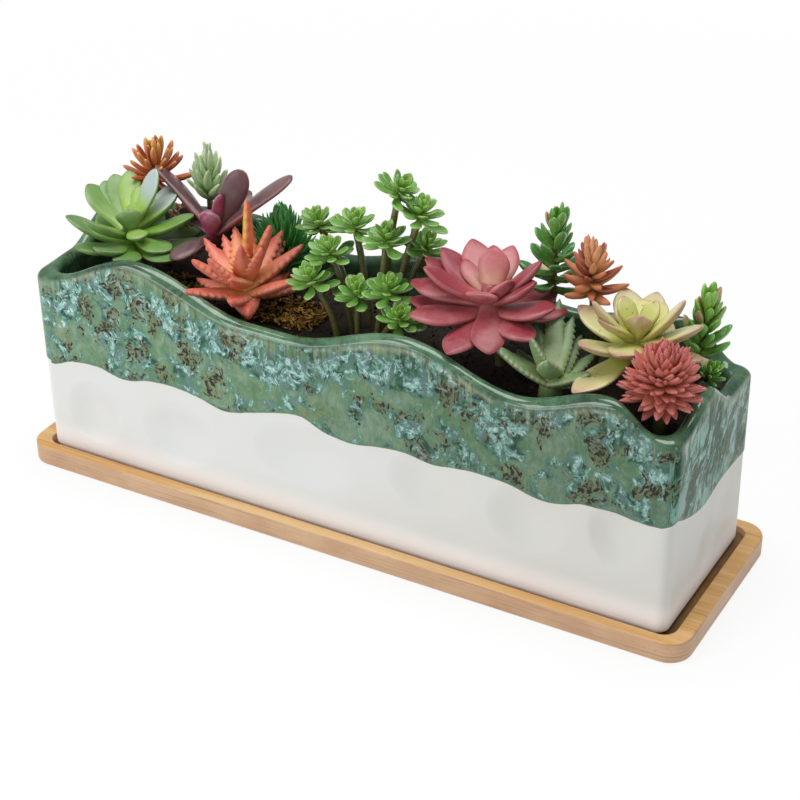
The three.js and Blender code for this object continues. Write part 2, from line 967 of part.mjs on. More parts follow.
function addPiece(parent, name, solid, color, roughness) {
  const material = new THREE.MeshStandardMaterial({ color, roughness, metalness: 0 });
  const mesh = new THREE.Mesh(toGeometry(solid), material);
  mesh.name = name;
  parent.add(mesh);
}

function cutAway(solid, others) {
  return others.reduce((rest, other) => rest.subtract(other), solid);
}

// Everything that lifts off the tray together, in a group that sits where the pot stands.
function plantedPot() {
  const group = new THREE.Group();
  group.position.set(potShift[0], potShift[1], 0);
  addPiece(group, "ceramic_pot", ceramicPot(), 0x86a08c, 0.2);
  const potRoom = potSkin(gap);
  const soilRoom = soilBlock(gap);
  const taken = [];
  let soil = soilBlock(0);
  plants.forEach((species, i) => {
    const plant = { ...species, heads: plantHeads[species.name]() };
    const stand = [...insidePlace(plant.place), soilHeight];
    const seed = i * 100;
    const roots = rootSolid(plant, 0).translate(stand);
    const whole = plantSolid(plant, 0, seed).translate(stand);
    const solid = cutAway(whole, [soilRoom.subtract(roots), potRoom, ...taken]);
    soil = soil.subtract(rootSolid(plant, gap).translate(stand));
    taken.push(plantSolid(plant, gap, seed).translate(stand));
    addPiece(group, plant.name, largestBody(solid), plant.color, 0.5);
  });
  mossPads.forEach((pad, i) => {
    const solid = cutAway(mossSolid(pad, i * 30), [soilRoom, potRoom, ...taken]);
    addPiece(group, pad.name, largestBody(solid), 0x8a6a35, 0.95);
  });
  addPiece(group, "soil_bed", soil, 0x2e211a, 0.95);
  return group;
}

addPiece(planter, "bamboo_tray", bambooTray(), 0xd3a66f, 0.5);
planter.add(plantedPot());

export default planter;
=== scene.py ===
import math

import bmesh
import bpy
import numpy as np
from mathutils import Matrix, Vector
from mathutils.geometry import tessellate_polygon


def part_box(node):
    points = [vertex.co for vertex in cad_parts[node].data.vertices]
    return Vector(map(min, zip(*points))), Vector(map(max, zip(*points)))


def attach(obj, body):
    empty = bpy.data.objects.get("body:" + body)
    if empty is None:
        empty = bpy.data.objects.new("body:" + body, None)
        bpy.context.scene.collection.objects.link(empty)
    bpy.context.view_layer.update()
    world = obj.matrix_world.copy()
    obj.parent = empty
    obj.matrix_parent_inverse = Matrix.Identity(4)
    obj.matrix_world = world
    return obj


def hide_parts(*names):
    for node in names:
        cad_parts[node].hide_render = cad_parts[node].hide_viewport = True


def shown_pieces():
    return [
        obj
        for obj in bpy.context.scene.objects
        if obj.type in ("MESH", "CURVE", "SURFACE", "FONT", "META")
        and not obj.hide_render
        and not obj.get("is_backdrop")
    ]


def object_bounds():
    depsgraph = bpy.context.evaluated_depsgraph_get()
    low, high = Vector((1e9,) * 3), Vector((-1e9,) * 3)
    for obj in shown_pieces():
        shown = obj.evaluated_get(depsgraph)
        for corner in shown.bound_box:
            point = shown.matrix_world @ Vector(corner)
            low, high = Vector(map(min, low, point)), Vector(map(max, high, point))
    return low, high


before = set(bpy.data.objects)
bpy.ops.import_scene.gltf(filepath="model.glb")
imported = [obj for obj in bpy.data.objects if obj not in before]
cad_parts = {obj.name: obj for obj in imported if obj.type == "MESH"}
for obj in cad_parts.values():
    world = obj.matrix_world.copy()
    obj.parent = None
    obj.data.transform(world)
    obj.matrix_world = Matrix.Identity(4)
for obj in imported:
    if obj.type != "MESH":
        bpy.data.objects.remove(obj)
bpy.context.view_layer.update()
print("frame loaded")

deg = math.pi / 180
golden = 137.50776  # degrees between one leaf and the next

# The CAD sizes in mm that the visual pieces share.
pot = {
    "halfLength": 150.5, "halfWidth": 40.5, "wall": 7, "foot": 5.9, "rim": 101.5, "floor": 12.9,
    "corner": 5, "insideCorner": 6, "footRound": 3, "lipRound": 3.6, "floorRound": 5,
    "drainRadius": 6, "drainMiddle": 75, "soil": 84,
}
insideLength = pot["halfLength"] - pot["wall"]
insideWidth = pot["halfWidth"] - pot["wall"]
potShift = np.array([-1.1, 0.3, 0.0])


# ---- small helpers ----

def colour(code):
    values = [int(code[i:i + 2], 16) / 255 for i in (1, 3, 5)]
    return [v / 12.92 if v <= 0.04045 else ((v + 0.055) / 1.055) ** 2.4 for v in values] + [1]


def eased(x, stops):
    xs, ys = np.array(stops, float).T
    slopes = np.gradient(ys, xs)
    i = np.clip(np.searchsorted(xs, x, side="right") - 1, 0, len(xs) - 2)
    span = xs[i + 1] - xs[i]
    t = (x - xs[i]) / span
    rise = (3 * t**2 - 2 * t**3) * (ys[i + 1] - ys[i]) + ys[i]
    return rise + (t**3 - 2 * t**2 + t) * span * slopes[i] + (t**3 - t**2) * span * slopes[i + 1]


def smooth(x, low, high):
    t = np.clip((x - low) / (high - low), 0, 1)
    return t * t * (3 - 2 * t)


def turnX(angle):
    c, s = math.cos(angle), math.sin(angle)
    return np.array([[1, 0, 0], [0, c, -s], [0, s, c]])


def turnY(angle):
    c, s = math.cos(angle), math.sin(angle)
    return np.array([[c, 0, s], [0, 1, 0], [-s, 0, c]])


def turnZ(angle):
    c, s = math.cos(angle), math.sin(angle)
    return np.array([[c, -s, 0], [s, c, 0], [0, 0, 1]])


# A patch of surface: points in mm, faces as lists of corners, and numbers kept on the points.
def patch(points, faces, **numbers):
    points = np.asarray(points, float)
    kept = {key: np.broadcast_to(np.asarray(v, float), len(points)).copy() for key, v in numbers.items()}
    sizes = np.array([len(face) for face in faces])
    corners = np.concatenate([np.asarray(face) for face in faces])
    return {"points": points, "sizes": sizes, "corners": corners, "numbers": kept}


def joined(patches):
    points, sizes, corners, start = [], [], [], 0
    for piece in patches:
        points.append(piece["points"])
        sizes.append(piece["sizes"])
        corners.append(piece["corners"] + start)
        start += len(piece["points"])
    keys = patches[0]["numbers"].keys()
    numbers = {key: np.concatenate([piece["numbers"][key] for piece in patches]) for key in keys}
    return {
        "points": np.concatenate(points), "sizes": np.concatenate(sizes),
        "corners": np.concatenate(corners), "numbers": numbers,
    }


def moved(piece, matrix, shift=(0, 0, 0)):
    return {**piece, "points": piece["points"] @ matrix.T + np.asarray(shift, float)}


def makeObject(name, piece, material):
    mesh = bpy.data.meshes.new(name)
    mesh.vertices.add(len(piece["points"]))
    mesh.vertices.foreach_set("co", (piece["points"] * 0.001).ravel())
    mesh.loops.add(len(piece["corners"]))
    mesh.loops.foreach_set("vertex_index", piece["corners"].astype(np.int32))
    starts = np.concatenate([[0], np.cumsum(piece["sizes"])[:-1]]).astype(np.int32)
    mesh.polygons.add(len(starts))
    mesh.polygons.foreach_set("loop_start", starts)
    mesh.update(calc_edges=True)
    mesh.validate()
    for key, values in piece["numbers"].items():
        mesh.attributes.new(key, "FLOAT", "POINT").data.foreach_set("value", values.astype(np.float32))
    work = bmesh.new()
    work.from_mesh(mesh)
    bmesh.ops.recalc_face_normals(work, faces=work.faces)
    work.to_mesh(mesh)
    work.free()
    mesh.polygons.foreach_set("use_smooth", [True] * len(mesh.polygons))
    if material:
        mesh.materials.append(material)
    item = bpy.data.objects.new(name, mesh)
    bpy.context.scene.collection.objects.link(item)
    return item


def readMesh(mesh):
    points = np.empty(len(mesh.vertices) * 3, np.float32)
    mesh.vertices.foreach_get("co", points)
    corners = np.empty(len(mesh.loops), np.int32)
    mesh.loops.foreach_get("vertex_index", corners)
    sizes = np.empty(len(mesh.polygons), np.int32)
    mesh.polygons.foreach_get("loop_total", sizes)
    numbers = {}
    for item in mesh.attributes:
        if item.domain == "POINT" and item.data_type == "FLOAT":
            values = np.empty(len(item.data), np.float32)
            item.data.foreach_get("value", values)
            numbers[item.name] = values.astype(float)
    return {"points": points.reshape(-1, 3) * 1000.0, "sizes": sizes, "corners": corners, "numbers": numbers}


def place(item, body, slotName, *nodes):
    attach(item, body)
    if nodes:
        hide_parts(*nodes)
    return item


# ---- node helpers ----

def addNode(tree, kind, inputs=None, **settings):
    item = tree.nodes.new(kind)
    for key, value in settings.items():
        setattr(item, key, value)
    for key, value in (inputs or {}).items():
        if isinstance(value, bpy.types.NodeSocket):
            tree.links.new(value, item.inputs[key])
        elif value is not None:
            item.inputs[key].default_value = value
    return item


def calc(tree, operation, a, b=None, c=None, clamp=False):
    inputs = {0: a, 1: b, 2: c}
    return addNode(tree, "ShaderNodeMath", inputs, operation=operation, use_clamp=clamp).outputs[0]


def remap(tree, value, low, high, to0=0.0, to1=1.0):
    inputs = {"Value": value, "From Min": low, "From Max": high, "To Min": to0, "To Max": to1}
    item = addNode(tree, "ShaderNodeMapRange", inputs, interpolation_type="SMOOTHSTEP")
    return item.outputs["Result"]


def ramp(tree, factor, stops, ease="LINEAR"):
    item = addNode(tree, "ShaderNodeValToRGB", {"Fac": factor})
    item.color_ramp.interpolation = ease
    elements = item.color_ramp.elements
    while len(elements) < len(stops):
        elements.new(0.5)
    for element, (position, value) in zip(elements, stops):
        element.position = position
        element.color = colour(value) if isinstance(value, str) else (value, value, value, 1)
    return item.outputs["Color"]


def blend(tree, factor, a, b, mode="MIX"):
    item = addNode(tree, "ShaderNodeMix", data_type="RGBA", blend_type=mode)
    for key, value in ((0, factor), (6, a), (7, b)):
        if isinstance(value, bpy.types.NodeSocket):
            tree.links.new(value, item.inputs[key])
        else:
            item.inputs[key].default_value = colour(value) if isinstance(value, str) else value
    return item.outputs[2]


def noise(tree, vector, size, detail=3.0, rough=0.5, warp=0.0):
    inputs = {"Vector": vector, "Scale": 1000 / size, "Detail": detail, "Roughness": rough, "Distortion": warp}
    return addNode(tree, "ShaderNodeTexNoise", inputs).outputs["Fac"]


def cells(tree, vector, size, feature="F1", random=1.0):
    inputs = {"Vector": vector, "Scale": 1000 / size, "Randomness": random}
    return addNode(tree, "ShaderNodeTexVoronoi", inputs, feature=feature)


def stretched(tree, vector, scale, turn=(0, 0, 0)):
    inputs = {"Vector": vector, "Scale": scale, "Rotation": turn}
    return addNode(tree, "ShaderNodeMapping", inputs).outputs[0]


def attribute(tree, name):
    return addNode(tree, "ShaderNodeAttribute", attribute_name=name).outputs["Fac"]


def newMaterial(name):
    material = bpy.data.materials.new(name)
    material.use_nodes = True
    tree = material.node_tree
    tree.nodes.clear()
    shader = tree.nodes.new("ShaderNodeBsdfPrincipled")
    output = tree.nodes.new("ShaderNodeOutputMaterial")
    tree.links.new(shader.outputs[0], output.inputs[0])
    return material, tree, shader


def bump(tree, shader, height, strength, distance):
    inputs = {"Height": height, "Strength": strength, "Distance": distance}
    tree.links.new(addNode(tree, "ShaderNodeBump", inputs).outputs[0], shader.inputs["Normal"])


# ---- plan rings of the pot and the tray ----

def stationsAround(longSteps, shortSteps, cornerSteps):
    rows = []
    for side in range(4):
        steps = shortSteps if side % 2 else longSteps
        rows += [(side, 2 * i / steps - 1, -1) for i in range(steps + 1)]
        rows += [(side, 1, i / cornerSteps) for i in range(1, cornerSteps)]
    return np.array(rows, float)


def planRing(stations, halfX, halfY, radius):
    side, share, turn = stations.T
    odd = side % 2 == 1
    along, across = np.where(odd, halfY, halfX), np.where(odd, halfX, halfY)
    angle = np.clip(turn, 0, 1) * math.pi / 2
    straight = turn < 0
    go = np.where(straight, share * (along - radius), along - radius + radius * np.sin(angle))
    out = np.where(straight, across, across - radius + radius * np.cos(angle))
    heading = side * math.pi / 2
    x = go * np.cos(heading) + out * np.sin(heading)
    y = go * np.sin(heading) - out * np.cos(heading)
    return np.stack([x, y], 1)


def ringFaces(rings, around):
    base = np.arange(rings - 1)[:, None] * around + np.arange(around)[None, :]
    turned = np.arange(rings - 1)[:, None] * around + (np.arange(around)[None, :] + 1) % around
    return np.stack([base, turned, turned + around, base + around], 2).reshape(-1, 4).tolist()


# ---- ceramic pot ----

rim = {
    "corners": [-6, -6.3, -12.5, -2.5],
    "waves": [
        [[-0.69, 9.3], [-0.295, -5.6], [-0.157, -5.8], [0.234, 7.5], [0.585, -5.3], [0.86, 4.8]],
        [[-0.16, -0.5], [0.5, -12.4]],
        [[-0.84, 3], [-0.5, -5], [-0.1, 6], [0.28, -6], [0.6, 2.5]],
        [[-0.39, 5.5], [0.45, -5.6]],
    ],
}
dimples = {
    "depth": 1.3, "halfHeight": 16,
    "spots": [[-124, 25, 15], [-78, 27, 20], [-15, 35, 25], [46, 40, 20], [89, 37, 18], [129, 42, 14]],
}
glazeLine = {  # height of the glaze's lower edge above the table, along each side's travel
    0: [[-150, 52], [-146.6, 50.6], [-134.1, 54.2], [-120, 55.4], [-106.5, 53.4], [-92.7, 55.9], [-79.3, 56.5],
        [-66.2, 54.5], [-53.4, 52.5], [-40.3, 55.2], [-27.5, 58.6], [-15, 59.8], [-2.8, 55.9], [9.4, 54.7],
        [21.4, 56.8], [33.4, 57], [46.4, 55.4], [58, 57.2], [69.4, 58.3], [80.7, 57], [92, 53.9], [103.1, 54.4],
        [113.8, 57.9], [124.6, 58.4], [135.2, 56.6], [145.5, 57]],
    1: [[-35.5, 58.4], [-27, 55.2], [-8, 49.8], [8.1, 51.1], [21.8, 51.8], [35.5, 50.6]],
    2: [[-145.5, 50.8], [-120, 55], [-84, 52.5], [-40, 57], [2, 53.8], [45, 56.5], [88, 53], [120, 56], [145.5, 54]],
    3: [[-35.5, 54], [-12, 51], [12, 54.5], [35.5, 52.5]],
}


def rimWave(row):
    side, share, turn = int(row[0]), row[1], row[2]
    corner = rim["corners"][(side + 1) % 4]
    if turn >= 0:
        return corner
    stops = [[-1, rim["corners"][side]], *rim["waves"][side], [1, corner]]
    after = next(i for i, stop in enumerate(stops) if i and stop[0] >= share - 1e-9)
    (x0, y0), (x1, y1) = stops[after - 1], stops[after]
    part = min(1, max(0, (share - x0) / (x1 - x0)))
    return y0 + (y1 - y0) * (1 - math.cos(part * math.pi)) / 2


def glazeHeight(row):
    side, share, turn = int(row[0]), row[1], row[2]
    half = (pot["halfWidth"] if side % 2 else pot["halfLength"]) - pot["corner"]
    if turn < 0:
        return float(eased(np.array(share * half), glazeLine[side]))
    here, there = glazeLine[side][-1][1], glazeLine[(side + 1) % 4][0][1]
    return here + (there - here) * turn


def pressedIn(stations, height):
    side, share, turn = stations.T
    along = share * (pot["halfLength"] - pot["corner"])
    depth = np.zeros(len(stations))
    for middle, level, halfSpan in dimples["spots"]:
        reach = np.hypot((along - middle) / halfSpan, (height - level) / dimples["halfHeight"])
        bowl = dimples["depth"] * np.cos(np.clip(reach, 0, 1) * math.pi / 2) ** 1.3
        depth = np.maximum(depth, bowl)
    long = (side % 2 == 0) & (turn < 0)
    ends = np.zeros(len(stations))
    for sideNumber, middle, level in ((1, 17, 32), (1, 1, 21), (3, -8, 30)):  # fainter ones on the short walls
        reach = np.hypot((share * 35.5 - middle) / 13, (height - level) / 12)
        bowl = 0.35 * np.cos(np.clip(reach, 0, 1) * math.pi / 2) ** 2
        ends = np.maximum(ends, np.where((side == sideNumber) & (turn < 0), bowl, 0))
    return np.where(long, depth, ends)


def potPatch():
    stations = stationsAround(250, 66, 12)
    around = len(stations)
    top = pot["rim"] + np.array([rimWave(row) for row in stations])
    line = np.array([glazeHeight(row) for row in stations])
    line += 0.35 * np.sin(np.arange(around) * 0.13) + 0.2 * np.sin(np.arange(around) * 0.29 + 1)
    step = 0.3  # the glaze stands this proud of the bare body
    rings, side, dents = [], [], []

    def add(inset, z, radius, inner, dent=0.0):
        inset = np.broadcast_to(inset + dent, around)
        ring = planRing(stations, pot["halfLength"] - inset, pot["halfWidth"] - inset, radius)
        rings.append(np.column_stack([ring, np.broadcast_to(z, around)]))
        side.append(np.full(around, float(inner)))
        dents.append(np.broadcast_to(dent, around))

    for i in range(6):  # foot
        angle = i / 6 * math.pi / 2
        inset = pot["footRound"] * (1 - math.sin(angle)) + step
        add(inset, pot["foot"] + pot["footRound"] * (1 - math.cos(angle)), pot["corner"], 0)
    low = pot["foot"] + pot["footRound"]
    high = top - pot["lipRound"]
    for share in np.linspace(0, 1, 88):  # outer wall
        z = low + (high - low) * share
        bare = step * (1 - smooth(z - line, -0.5, 0.5))
        add(bare, z, pot["corner"], 0, pressedIn(stations, z - pot["foot"]))
    for share in np.linspace(0, 1, 16)[1:-1]:  # lip
        angle = share * math.pi
        inset = pot["wall"] * (1 - math.cos(angle)) / 2
        radius = pot["corner"] + (pot["insideCorner"] - pot["corner"]) * share
        add(inset, top - pot["lipRound"] * (1 - math.sin(angle)), radius, share)
    base = pot["floor"] + pot["floorRound"]
    for share in np.linspace(0, 1, 12):  # inner wall
        add(pot["wall"], high + (base - high) * share, pot["insideCorner"], 1)
    for i in range(1, 5):
        angle = i / 4 * math.pi / 2
        z = base - pot["floorRound"] * math.sin(angle)
        add(pot["wall"] + pot["floorRound"] * (1 - math.cos(angle)), z, pot["insideCorner"], 1)
    count = len(rings)
    points = np.concatenate(rings)
    faces = ringFaces(count, around)
    drop = np.tile(top, count) - points[:, 2]
    rise = points[:, 2] - np.tile(line, count)
    inner = np.concatenate(side)
    loops, holes = len(points), []
    turns = np.arange(40) / 40 * 2 * math.pi
    for z in (pot["foot"], pot["floor"]):  # drain holes through the floor
        for middle in (-pot["drainMiddle"], pot["drainMiddle"]):
            x, y = middle + pot["drainRadius"] * np.cos(turns), pot["drainRadius"] * np.sin(turns)
            holes.append(np.column_stack([x, y, np.full(40, z)]))
    points = np.concatenate([points, *holes])
    for ringStart, first in ((0, 0), ((count - 1) * around, 2)):
        outline = list(range(ringStart, ringStart + around))
        openings = [list(range(loops + 40 * k, loops + 40 * k + 40)) for k in (first, first + 1)]
        flat = [[Vector((*points[i, :2], 0)) for i in loop] for loop in (outline, *openings)]
        indices = outline + openings[0] + openings[1]
        faces += [[indices[i] for i in face] for face in tessellate_polygon(flat)]
    for k in (0, 1):
        low0, high0 = loops + 40 * k, loops + 40 * (k + 2)
        faces += [[low0 + i, low0 + (i + 1) % 40, high0 + (i + 1) % 40, high0 + i] for i in range(40)]
    extra = np.zeros(160)
    drop, rise = np.concatenate([drop, extra + 80]), np.concatenate([rise, extra - 40])
    inner, pressed = np.concatenate([inner, extra]), np.concatenate([*dents, extra])
    return patch(points + potShift, faces, drop=drop, rise=rise, inner=inner, pressed=pressed)


glazeLook = {
    "sage": "#7D9D7A", "moss": "#668A62", "olive": "#7F9262", "pale": "#8AA48E", "deep": "#1F4B39", "green": "#56835F",
    "teal": "#4A7F6A", "slate": "#71888C", "aqua": "#82B8AA", "bright": "#A6D6CA", "ice": "#DCECF2",
    "fleck": "#1E190F", "umber": "#4B4029", "ochre": "#8C733A",
    "beige": "#AEB491", "lip": "#46694B", "lipDark": "#27432E", "body": "#E6E7E4", "warm": "#E5E4DF",
}


def ceramicMaterial():
    look = glazeLook
    material, tree, shader = newMaterial("glazed ceramic")
    spot = addNode(tree, "ShaderNodeTexCoord").outputs["Object"]
    drop, rise, inner = attribute(tree, "drop"), attribute(tree, "rise"), attribute(tree, "inner")
    share = calc(tree, "DIVIDE", rise, calc(tree, "ADD", rise, drop), clamp=True)  # 0 at the edge, 1 at the rim

    # The glaze has crept, so every pattern is read at a shifted place. On the short ends it ran down the most.
    drift = addNode(tree, "ShaderNodeTexNoise", {"Vector": spot, "Scale": 95.0, "Detail": 2.0}).outputs["Color"]
    centred = addNode(tree, "ShaderNodeVectorMath", {0: drift, 1: (0.5, 0.5, 0.5)}, operation="SUBTRACT").outputs[0]
    offset = addNode(tree, "ShaderNodeVectorMath", {0: centred, "Scale": 0.011}, operation="SCALE").outputs[0]
    crept = addNode(tree, "ShaderNodeVectorMath", {0: spot, 1: offset}, operation="ADD").outputs[0]
    axes = addNode(tree, "ShaderNodeSeparateXYZ", {0: crept}).outputs
    straight = addNode(tree, "ShaderNodeSeparateXYZ", {0: spot}).outputs
    ends = remap(tree, calc(tree, "ABSOLUTE", calc(tree, "ADD", straight["X"], 0.0011)), 0.1470, 0.1495)
    sunk = calc(tree, "MULTIPLY", axes["Z"], remap(tree, ends, 0, 1, 0.72, 0.42))
    swept = calc(tree, "SUBTRACT", axes["Y"], calc(tree, "MULTIPLY", calc(tree, "MULTIPLY", axes["Z"], ends), 0.4))
    flow = addNode(tree, "ShaderNodeCombineXYZ", {0: axes["X"], 1: swept, 2: sunk}).outputs[0]

    broad = noise(tree, crept, 32, 3, 0.55)
    base = ramp(tree, broad, [(0.34, look["moss"]), (0.45, look["sage"]), (0.56, look["pale"]), (0.7, look["olive"])])
    soft = noise(tree, flow, 7, 5, 0.65)
    base = blend(tree, remap(tree, soft, 0.40, 0.70, 0, 0.8), base, look["green"])
    streak = noise(tree, stretched(tree, flow, (1.2, 1.2, 0.5)), 2.4, 5, 0.7)
    base = blend(tree, remap(tree, streak, 0.42, 0.72, 0, 0.5), base, "#4F7C5B")
    base = blend(tree, remap(tree, streak, 0.52, 0.30, 0, 0.4), base, "#A3B594")

    # Crystals lie in dabs and strings along wavy bands that follow the rim, over dark green and grey blue.
    wander = calc(tree, "MULTIPLY", calc(tree, "SUBTRACT", noise(tree, spot, 42, 2), 0.5), 1.5)
    level = calc(tree, "ADD", share, wander)
    bandStops = [(0.04, 0.35), (0.2, 0.45), (0.36, 0.0), (0.52, 0.3), (0.68, 1.0), (0.84, 0.8), (0.96, 0.25)]
    band = calc(tree, "MAXIMUM", ramp(tree, level, bandStops, "EASE"), calc(tree, "MULTIPLY", ends, 0.45))
    clump = noise(tree, flow, 11, 4, 0.6)
    lean = calc(tree, "MULTIPLY", calc(tree, "SUBTRACT", band, 0.5), 0.3)
    reach = calc(tree, "ADD", clump, lean)
    fine = noise(tree, flow, 3.4, 2, 0.6)
    veined = noise(tree, flow, 5, 3, 0.6)
    under = remap(tree, calc(tree, "ADD", reach, calc(tree, "MULTIPLY", fine, 0.3)), 0.54, 0.70, 0, 0.95)
    base = blend(tree, under, base, look["teal"])
    slate = calc(tree, "MULTIPLY", remap(tree, veined, 0.48, 0.58), remap(tree, reach, 0.44, 0.56, 0, 0.75))
    base = blend(tree, slate, base, look["slate"])
    pools = calc(tree, "MULTIPLY", remap(tree, veined, 0.52, 0.40), remap(tree, reach, 0.44, 0.56, 0, 0.95))
    base = blend(tree, pools, base, look["deep"])
    dabs = calc(tree, "ADD", fine, calc(tree, "MULTIPLY", calc(tree, "SUBTRACT", reach, 0.5), 0.7))
    base = blend(tree, remap(tree, dabs, 0.53, 0.62, 0, 0.75), base, look["aqua"])
    base = blend(tree, remap(tree, dabs, 0.62, 0.72, 0, 0.8), base, look["bright"])
    sparks = noise(tree, flow, 0.95, 2, 0.6)
    strings = remap(tree, calc(tree, "ABSOLUTE", calc(tree, "SUBTRACT", clump, 0.53)), 0.035, 0.0, 0, 0.8)
    strings = calc(tree, "MULTIPLY", strings, remap(tree, band, 0.2, 0.7))
    where = calc(tree, "MAXIMUM", remap(tree, dabs, 0.54, 0.66), strings)
    base = blend(tree, calc(tree, "MULTIPLY", remap(tree, sparks, 0.54, 0.64), where), base, look["ice"])
    base = blend(tree, calc(tree, "MULTIPLY", remap(tree, sparks, 0.44, 0.34), calc(tree, "MULTIPLY", where, 0.8)), base, look["deep"])
    patches = calc(tree, "ADD", noise(tree, flow, 8, 3, 0.6), calc(tree, "MULTIPLY", calc(tree, "SUBTRACT", fine, 0.5), 0.35))
    base = blend(tree, ends, base, (0.85, 1.0, 0.88, 1), "MULTIPLY")
    pale = calc(tree, "MULTIPLY", remap(tree, patches, 0.53, 0.61), calc(tree, "MULTIPLY", ends, 0.7))
    base = blend(tree, pale, base, "#ABD6CD")
    dim = calc(tree, "MULTIPLY", remap(tree, patches, 0.50, 0.42), calc(tree, "MULTIPLY", ends, 0.92))
    base = blend(tree, dim, base, "#1C5236")

    # Dark flecks with ochre hearts, broken up and in clusters.
    groups = cells(tree, stretched(tree, crept, (1, 1, 0.8)), 15).outputs["Distance"]
    groups = calc(tree, "ADD", groups, calc(tree, "MULTIPLY", calc(tree, "SUBTRACT", noise(tree, crept, 5, 3), 0.5), 1.4))
    cluster = calc(tree, "MULTIPLY", remap(tree, groups, 0.42, 0.22), remap(tree, ends, 0, 1, 1, 0.5))
    crumbs = noise(tree, stretched(tree, crept, (1, 1, 0.8)), 1.35, 2, 0.55)
    sunkIn = calc(tree, "ADD", crumbs, calc(tree, "MULTIPLY", cluster, 0.09))
    fleck = calc(tree, "MULTIPLY", remap(tree, sunkIn, 0.61, 0.67), remap(tree, cluster, 0.0, 0.3))
    base = blend(tree, calc(tree, "MULTIPLY", cluster, 0.5), base, "#767C52")
    base = blend(tree, calc(tree, "MULTIPLY", remap(tree, sunkIn, 0.55, 0.62, 0, 0.7), cluster), base, look["umber"])
    base = blend(tree, calc(tree, "MULTIPLY", fleck, 0.95), base, look["fleck"])
    heart = calc(tree, "MULTIPLY", remap(tree, crumbs, 0.40, 0.34), remap(tree, cluster, 0.5, 0.9))
    base = blend(tree, calc(tree, "MULTIPLY", heart, 0.6), base, look["ochre"])

    # The glaze is darker towards the right: partly its own colour where it lies thicker, partly painted shade where the
    # light falls off.
    thickGlazeAndShade = remap(tree, straight["X"], -0.11, 0.11)
    base = blend(tree, thickGlazeAndShade, base, (0.66, 0.67, 0.65, 1), "MULTIPLY")

    # Short runs below the lip, then the lip's own darker green over a paler line.
    runs = noise(tree, stretched(tree, spot, (1, 1, 0.08)), 2.4, 3, 0.55)
    near = ramp(tree, calc(tree, "DIVIDE", drop, 24), [(0.15, 1.0), (0.38, 0.5), (0.7, 0.0)], "EASE")
    base = blend(tree, calc(tree, "MULTIPLY", remap(tree, runs, 0.54, 0.64, 0, 0.5), near), base, look["beige"])
    base = blend(tree, calc(tree, "MULTIPLY", remap(tree, runs, 0.42, 0.34, 0, 0.75), near), base, "#4E4424")
    wavy = calc(tree, "ADD", drop, calc(tree, "MULTIPLY", noise(tree, spot, 12, 3), 3.0))
    underLip = ramp(tree, calc(tree, "DIVIDE", wavy, 20), [(0.2, 0.0), (0.29, 1.0), (0.4, 0.0)], "EASE")
    worn = remap(tree, noise(tree, spot, 16, 2), 0.42, 0.6, 0, 0.4)
    base = blend(tree, calc(tree, "MULTIPLY", underLip, worn), base, look["beige"])
    lipStops = [(0.38, look["lipDark"]), (0.52, look["lip"]), (0.66, "#668A68")]
    lipTone = ramp(tree, noise(tree, stretched(tree, spot, (0.6, 0.6, 1)), 13, 4, 0.6), lipStops)
    lipTone = blend(tree, calc(tree, "MULTIPLY", fleck, 0.5), lipTone, "#3A3024")
    onLip = calc(tree, "MAXIMUM", remap(tree, wavy, 6.2, 3.4), remap(tree, inner, 0.35, 0.6))
    glaze = blend(tree, calc(tree, "MULTIPLY", onLip, 0.9), base, lipTone)
    glaze = blend(tree, remap(tree, rise, 2.2, 0.3, 0, 0.55), glaze, "#4F7D70")

    body = blend(tree, remap(tree, noise(tree, spot, 60, 2), 0.4, 0.7), look["body"], look["warm"])
    speck = remap(tree, cells(tree, spot, 3.4).outputs["Distance"], 0.09, 0.05)
    body = blend(tree, calc(tree, "MULTIPLY", speck, 0.1), body, "#B3A998")
    # Painted shade: the bare body is painted darker towards the right, where the light falls off.
    body = blend(tree, remap(tree, straight["X"], -0.05, 0.15), body, (0.90, 0.89, 0.87, 1), "MULTIPLY")
    # Painted light: the bare body is painted paler towards the foot, to lift the shade near the tray.
    body = blend(tree, remap(tree, straight["Z"], 0.024, 0.011, 0, 0.95), body, "#FDF8F5")
    hair = ramp(tree, calc(tree, "ADD", calc(tree, "MULTIPLY", rise, 0.2), 0.5), [(0.36, 0.0), (0.46, 1.0), (0.52, 0.0)])
    body = blend(tree, calc(tree, "MULTIPLY", hair, 0.8), body, "#E9DDBE")

    ragged = calc(tree, "MULTIPLY", calc(tree, "SUBTRACT", noise(tree, spot, 9, 2), 0.5), 0.9)
    covered = calc(tree, "MAXIMUM", remap(tree, calc(tree, "ADD", rise, ragged), -0.16, 0.16), remap(tree, inner, 0.2, 0.3))
    tree.links.new(blend(tree, covered, body, glaze), shader.inputs["Base Color"])
    gloss = calc(tree, "ADD", calc(tree, "MULTIPLY", noise(tree, spot, 9, 3), 0.12), 0.05)
    satin = calc(tree, "ADD", calc(tree, "MULTIPLY", noise(tree, spot, 14, 3), 0.1), 0.30)
    roughness = addNode(tree, "ShaderNodeMix", data_type="FLOAT")
    for key, value in ((0, covered), (2, satin), (3, gloss)):
        tree.links.new(value, roughness.inputs[key])
    tree.links.new(roughness.outputs[0], shader.inputs["Roughness"])
    # The skin's height in mm: slow lumps, the glaze's relief and the dimples' shade.
    slow = calc(tree, "MULTIPLY", noise(tree, spot, 30, 1), 1.4)
    lumps = calc(tree, "ADD", calc(tree, "MULTIPLY", noise(tree, spot, 12, 2), 0.1), calc(tree, "MULTIPLY", covered, 0.07))
    lumps = calc(tree, "ADD", lumps, slow)
    pits = calc(tree, "ADD", lumps, calc(tree, "MULTIPLY", calc(tree, "MULTIPLY", reach, covered), 0.06))
    height = calc(tree, "SUBTRACT", pits, calc(tree, "MULTIPLY", attribute(tree, "pressed"), 1.8))
    bump(tree, shader, height, 1.0, 0.001)
